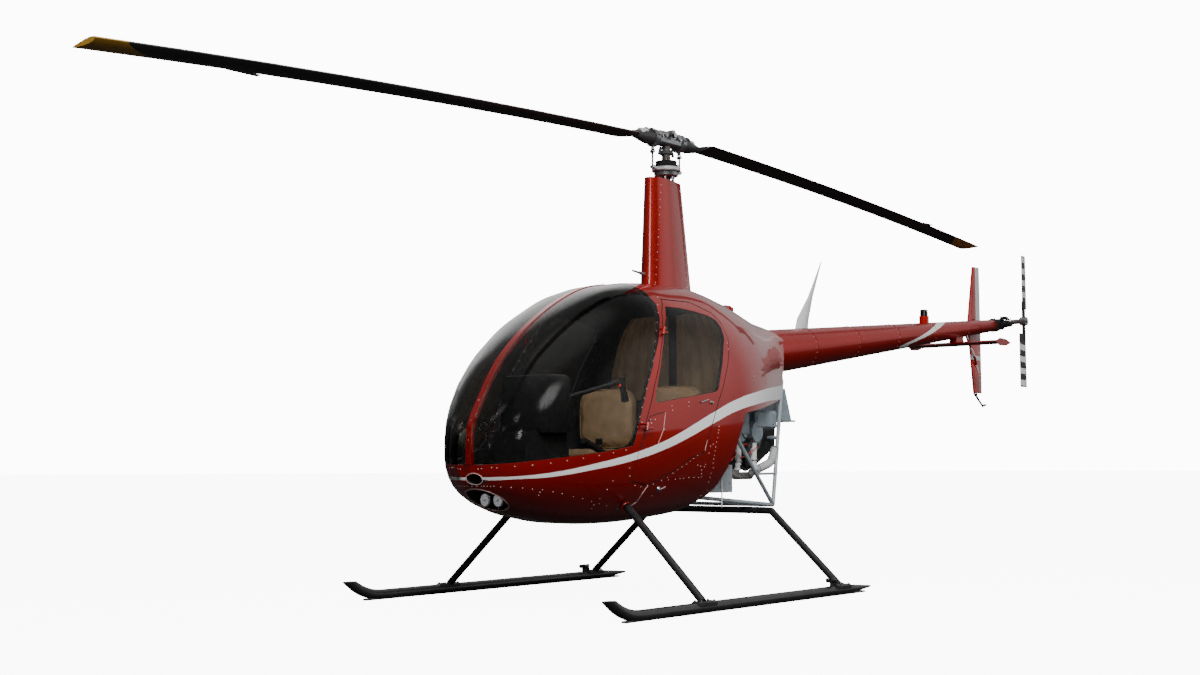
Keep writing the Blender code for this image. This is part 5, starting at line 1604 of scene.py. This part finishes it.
def build_skid_fittings():
    def saddles(kit):
        for y in (strut + MAST_Y for strut in STRUT_Y):
            kit.block((SKID_X, y, 0.046), UPRIGHT, (0.062, 0.150, 0.028), 0.006)

    def bolts(kit):
        for y in (strut + MAST_Y for strut in STRUT_Y):
            for shift in (-0.055, 0.055):
                for side in (-1, 1):
                    kit.hexagon((SKID_X + side * 0.020, y + shift, 0.059), (0, 0, 1), 0.0065, 0.007)

    def shoes(kit):
        for y in (-1.75, -0.75, 0.20):
            kit.block((SKID_X, y, 0.006), UPRIGHT, (0.034, 0.22, 0.010), 0.003)

    both_sides("skid_saddle", saddles, "black_paint", "black_paint", *FRAME_BODIES)
    both_sides("skid_bolts", bolts, "bare_metal", "black_paint", *FRAME_BODIES)
    both_sides("skid_shoes", shoes, "dark_engine", "black_paint", *FRAME_BODIES)


# Cabin

# Dials of the console, then the padding on the wall behind the seats: foot, back, gap at its ends, folds
DIAL_X = (-0.105, -0.035, 0.035, 0.105)
DIAL_Z = (1.150, 1.065, 0.985)
PADDING_FOOT_Z = 1.125
PADDING_BACK_Y = -0.2765
PADDING_EDGE = 0.030
FOLDS = 5


def build_cabin():
    padding = Kit()
    for side in (1, -1):
        rings = []
        for step in range(22):
            z = PADDING_FOOT_Z + 0.024 * step
            hit = touch((0.0, -0.300, z), (side, 0, 0), "cabin_frame", "cowl_aft", "door_window_port",
                        "door_window_starboard", "door_port", "door_starboard")
            reach = min(abs(hit[0].x) if hit else 0.5, 0.52) - PADDING_EDGE
            if reach < 0.10:
                break
            ends = 0.006 if step in (0, 21) else 0.0
            front = []
            back = []
            for k in range(33):
                share = k / 32
                x = PADDING_EDGE + (reach - PADDING_EDGE) * share
                fold = abs(math.sin(share * math.pi * FOLDS)) ** 0.6
                edge = min(1.0, 6 * share, 6 * (1 - share))
                front.append(Vector((side * x, -0.279 - 0.016 * fold * edge + ends, z)))
                back.append(Vector((side * x, PADDING_BACK_Y, z)))
            rings.append(front + list(reversed(back)))
        if len(rings) > 2:
            padding.rings(rings)
    padding.make("rear_wall_padding", "padding", "airframe", 50)

    grips = Kit()
    buttons = Kit()
    collars = Kit()
    for side in (1, -1):
        top = Vector((side * 0.312, -1.165, 1.205))
        hit = seen(622.0, 380.5, "cyclic_stick")
        if hit:
            top = Vector((side * abs(hit[0].x), hit[0].y, hit[0].z))
        foot = top + Vector((side * 0.012, 0.020, -0.115))
        grips.tube(loop_points((top + Vector((0, 0, 0.012)), top - Vector((0, 0, 0.03)), foot)), 0.0165, 16)
        for away, rise in ((1, 0.2), (-1, 0.1)):
            foot = top + Vector((0, away * 0.014, -0.028))
            buttons.lathe(foot, (0, away, rise), ((0, 0.008), (0.006, 0.008), (0.009, 0.005)), 16)
    grips.make("stick_grips", "rubber", "airframe", 60)
    buttons.make("stick_buttons", "red_plastic", "airframe")

    faces = Kit()
    marks = Kit()
    for row, z in enumerate(DIAL_Z):
        for x in DIAL_X:
            if row == 2 and abs(x) > 0.08:
                continue
            hit = touch((x, 0.0, z), (0, -1, 0), "instrument_console")
            if not hit:
                continue
            point, normal = hit
            collars.torus(point + normal * 0.002, normal, 0.029, 0.003, 32, 8)
            faces.lathe(point - normal * 0.001, normal, ((0, 0.027), (0.0025, 0.027)), 32)
            other = normal.cross(Vector((1, 0, 0))).normalized()
            side = normal.cross(other)
            for turn in range(12):
                angle = 2 * math.pi * turn / 12
                spoke = side * math.cos(angle) + other * math.sin(angle)
                marks.block(point + normal * 0.002 + spoke * 0.022, (spoke, normal.cross(spoke), normal),
                            (0.006, 0.0014, 0.0016))
            needle = side * math.cos(0.7 + row) + other * math.sin(0.7 + row)
            marks.block(point + normal * 0.0025 + needle * 0.008, (needle, normal.cross(needle), normal),
                        (0.018, 0.0016, 0.0012))
    collars.make("dial_rims", "bare_metal", "airframe")
    faces.make("dial_faces", "dial_face", "airframe")
    marks.make("dial_marks", "white_plastic", "airframe")

    buckles = Kit()
    for side in (1, -1):
        buckles.block((side * 0.2425, -0.668, 0.872), UPRIGHT, (0.05, 0.014, 0.045), 0.004)
    buckles.make("belt_buckles", "chrome", "airframe")


# Engine bay

ENGINE_NODES = ("engine_block", "engine_cylinders_port", "engine_frame", "exhaust_port", "fan_scroll",
                "firewall_box")
# Wires, hoses and the rod each lie on an upright plane; their lines are places on the photograph
WIRE_X = 0.331
HOSE_X = 0.335
ROD_X = 0.352
# A black slab between these two X fills the dark gap below the fan scroll: a painted shadow, not a part
SHADOW_SLAB_X = (0.02, 0.175)
WIRES = (((730.6, 461.0), (736.0, 453.5), (732.0, 449.0), (736.0, 444.0)),
         ((740.5, 458.0), (746.0, 455.5), (751.0, 452.0), (757.0, 447.0)),
         ((741.0, 447.0), (745.0, 444.0), (749.0, 446.0)))
HOSES = (((741.0, 466.0), (745.0, 470.0), (751.0, 466.0)), ((741.0, 432.0), (744.0, 438.0), (751.0, 439.0)))
ROD = ((721.8, 479.5), (721.8, 507.0))
# Outline of that slab of painted shadow, as places on the photograph
SHADOW_SLAB_OUTLINE = ((743.0, 441.0), (756.0, 437.0), (775.0, 427.0), (774.5, 447.0), (757.0, 464.0), (746.0, 470.0))
PIPE_CLAMPS = ((739.0, 441.0), (752.7, 440.0), (739.0, 462.0), (752.7, 460.0))
BAY_BOLTS = ((717.0, 468.0), (729.0, 467.0), (717.5, 484.0), (729.5, 483.0), (718.0, 495.0), (745.0, 420.0),
             (748.0, 433.0), (760.0, 414.0), (770.0, 412.0), (762.0, 426.0), (773.0, 424.0))
CYLINDER_Y = (0.272, 0.432)
DUCT_ENDS = ((0.250, 0.551, 0.707), (0.250, 0.748, 0.842))


def traced(line, x):
    """A smooth line over the places on the photograph, on the plane at that X."""
    return loop_points([on_plane(px, py, 0, x) for px, py in line])


def build_engine_bay():
    def duct(kit):
        start, end = (at(*place) for place in DUCT_ENDS)
        bend = [start, start + Vector((0, 0.085, 0.022)), end - Vector((0, 0.045, 0.085)), end]
        line = loop_points(bend, steps=12)
        kit.tube(line, [0.0225 + 0.0045 * (k % 2) for k in range(len(line))], 20)

    def clamps(kit):
        for point, axis in ((at(0.250, 0.556, 0.708), (0, 1, 0.2)), (at(0.250, 0.745, 0.837), (0, 0.4, 0.8))):
            kit.torus(point, axis, 0.027, 0.0025, 28, 8)
        for px, py in PIPE_CLAMPS:
            hit = seen(px, py, "exhaust_port")
            if hit:
                middle = hit[0] - Vector((hit[1].x, hit[1].y, 0)).normalized() * 0.019
                kit.torus(middle, (0, 0, 1), 0.0215, 0.0028, 24, 8)

    def wires(kit):
        for line in WIRES:
            kit.tube(traced(line, WIRE_X), 0.0026, 8)

    def hoses(kit):
        for line in HOSES:
            kit.tube(traced(line, HOSE_X), 0.008, 10)

    def rods(kit):
        kit.tube([on_plane(px, py, 0, ROD_X) for px, py in ROD], 0.0042, 10)

    # A matt black slab of painted shadow in the dark gap below the fan scroll
    def shadow_slab(kit):
        outer = [on_plane(px, py, 0, SHADOW_SLAB_X[1]) for px, py in SHADOW_SLAB_OUTLINE]
        inner = [Vector((SHADOW_SLAB_X[0], place.y, place.z)) for place in outer]
        kit.rings([inner, outer])

    def bolts(kit):
        for px, py in BAY_BOLTS:
            bolt(kit, seen(px, py, *ENGINE_NODES), 0.006)

    def fins(kit):
        for y in CYLINDER_Y:
            for step in range(7):
                x = 0.180 + 0.022 * step
                kit.block((x, y + MAST_Y, 0.850), UPRIGHT, (0.004, 0.120, 0.030), 0.001)

    both_sides("air_duct", duct, "duct", "dark_engine", *FRAME_BODIES, angle=60)
    both_sides("pipe_clamps", clamps, "chrome", "dark_engine", *FRAME_BODIES)
    both_sides("ignition_wires", wires, "wire_red", "dark_engine", *FRAME_BODIES, angle=60)
    both_sides("oil_hoses", hoses, "rubber", "dark_engine", *FRAME_BODIES, angle=60)
    both_sides("control_rods", rods, "white_plastic", "grey_frame", *FRAME_BODIES)
    both_sides("engine_bay_painted_shadow", shadow_slab, "rubber", "dark_engine", *FRAME_BODIES)
    both_sides("engine_bolts", bolts, "bare_metal", "dark_engine", *FRAME_BODIES)
    both_sides("cylinder_fins", fins, "dark_engine", "dark_engine", *FRAME_BODIES)


# Tail and roof fittings

# Joints of the boom's skins, as shares of its length
BOOM_JOINTS = (0.17, 0.34, 0.51, 0.68, 0.85)
TRIM_TAB_REACH = 2.95
FILLER_PROFILE = ((0, 0.012), (0.010, 0.012), (0.012, 0.009), (0.018, 0.009), (0.020, 0.006))
PROBE_PROFILE = ((0, 0.012), (0.02, 0.011), (0.06, 0.007), (0.11, 0.006), (0.112, 0.003))
# Places on the photograph
AIR_PROBE = (644.0, 274.0)
TAIL_SKID = ((974.3, 393.6), (982.1, 405.3), (985.8, 404.9))
TAIL_SKID_X = -0.064


def build_trim_tabs():
    tabs = Kit()
    for side in (1, -1):
        node = "blade_aft" if side > 0 else "blade_fore"
        found = None
        for step in range(60):
            x = side * (0.150 - 0.002 * step)
            found = touch((x, MAST_Y + side * TRIM_TAB_REACH, 3.2), (0, 0, -1), node)
            if found:
                break
        if found:
            tabs.block(found[0] + Vector((side * 0.006, 0, -0.001)), UPRIGHT,
                       (0.036, 0.170, 0.0022), 0.0005)
    tabs.make("blade_trim_tabs", "bare_metal", "main_rotor")


def boom_at(share):
    """Middle and radius of the boom at a share of its length."""
    middle = at(*BOOM_FRONT).lerp(at(*BOOM_REAR), share)
    return middle, BOOM_RADIUS[0] + share * (BOOM_RADIUS[1] - BOOM_RADIUS[0])


def build_tail_fittings():
    metal = Kit()
    for side in (1, -1):
        bolt(metal, touch((0.223, TAIL_HUB.y + side * 0.018, 2.2), (0, 0, -1), "tail_rotor_hub"), 0.006)
    metal.hexagon((0.246, TAIL_HUB.y, TAIL_HUB.z), (1, 0, 0), 0.014, 0.010)
    metal.make("tail_hub_nut", "chrome", "tail_rotor")
    box = Kit()
    cap = touch((-0.01, 4.02, 2.2), (0, 0, -1), "tail_gearbox")
    if cap:
        box.lathe(cap[0] - Vector((0, 0, 0.002)), (0, 0, 1), FILLER_PROFILE, 20)
    ribs = Kit()
    for x in (0.066, 0.078, 0.090, 0.102):
        ribs.torus((x, TAIL_HUB.y, TAIL_HUB.z), (1, 0, 0), 0.030, 0.004, 24, 6)
    for y in (3.955, 3.985, 4.015):
        ribs.torus((0.0, y, 1.848), (0, 1, 0.12), 0.048, 0.005, 24, 6)
    ribs.block((0.075, 4.02, 1.905), UPRIGHT, (0.05, 0.06, 0.02), 0.004)
    ribs.make("gearbox_ribs", "black_paint", "airframe")
    for y in (3.965, 4.015, 4.065):
        for level in (1.815, 1.880):
            bolt(box, touch((0.4, y, level), (-1, 0, 0), "tail_gearbox"), 0.005)
    box.make("gearbox_bolts", "bare_metal", "airframe")
    skid = Kit()
    skid.tube([on_plane(px, py, 0, TAIL_SKID_X) for px, py in TAIL_SKID], 0.0085, 12)
    skid.make("tail_skid_sleeve", "black_paint", "airframe", 60)
    # Boom rivets in the pale rivet paint, a painted glint
    rings = Kit()
    up = BOOM_AXIS.cross(Vector((1, 0, 0))).normalized()
    for share in BOOM_JOINTS:
        centre, radius = boom_at(share)
        count = max(12, int(2 * math.pi * radius / 0.035))
        for turn in range(count):
            angle = 2 * math.pi * turn / count
            out = Vector((1, 0, 0)) * math.cos(angle) + up * math.sin(angle)
            rings.dome(centre + out * (radius - 0.0002), out, 0.0030, 0.0014)
    rings.make("boom_rivets", "rivet", "airframe", 50)
    joints = Kit()
    for share in (joint + 0.005 for joint in BOOM_JOINTS):
        centre, radius = boom_at(share)
        joints.torus(centre, BOOM_AXIS, radius + 0.0002, 0.0010, 64, 6)
    joints.make("boom_joints", "red_paint", "airframe", 60)
    cap_rim = Kit()
    hit = touch((0.1325, 0.099, 2.2), (0, 0, -1), "fuel_cap")
    if hit:
        point, normal = hit
        across = normal.orthogonal()
        cap_rim.torus(point - normal * 0.001, normal, 0.026, 0.004, 32, 8)
        axes = (across, normal.cross(across), normal)
        cap_rim.block(point + normal * 0.004, axes, (0.044, 0.012, 0.010), 0.002)
    cap_rim.make("fuel_cap_rim", "bare_metal", "airframe")
    probe = Kit()
    hit = seen(*AIR_PROBE, "mast_fairing")
    if hit:
        probe.lathe(hit[0] - hit[1] * 0.004, (0.0, -1.0, 0.1), PROBE_PROFILE, 16)
        probe.make("air_probe", "bare_metal", "airframe")

    # Fairing rivets in the pale rivet paint, a painted glint
    def fairing_rivets(kit):
        for step in range(14):
            z = 1.80 + 0.045 * step
            for y in (-0.505 + 0.012 * step * 0.4, -0.16 - 0.004 * step):
                hit = touch((0.4, y, z), (-1, 0, 0), "mast_fairing")
                if hit:
                    kit.dome(hit[0] - hit[1] * 0.0003, hit[1], 0.0032, 0.0015)

    both_sides("fairing_rivets", fairing_rivets, "rivet", "red_paint", *FRAME_BODIES, angle=50)


def main():
    build_camera()
    build_stage()
    build_lights()
    dress_all()
    build_seats()
    build_rivets()
    build_rotor_head()
    build_lamps()
    build_door_fittings()
    build_hull_fittings()
    build_skid_fittings()
    build_cabin()
    build_engine_bay()
    build_trim_tabs()
    build_tail_fittings()
    bpy.context.view_layer.update()


main()
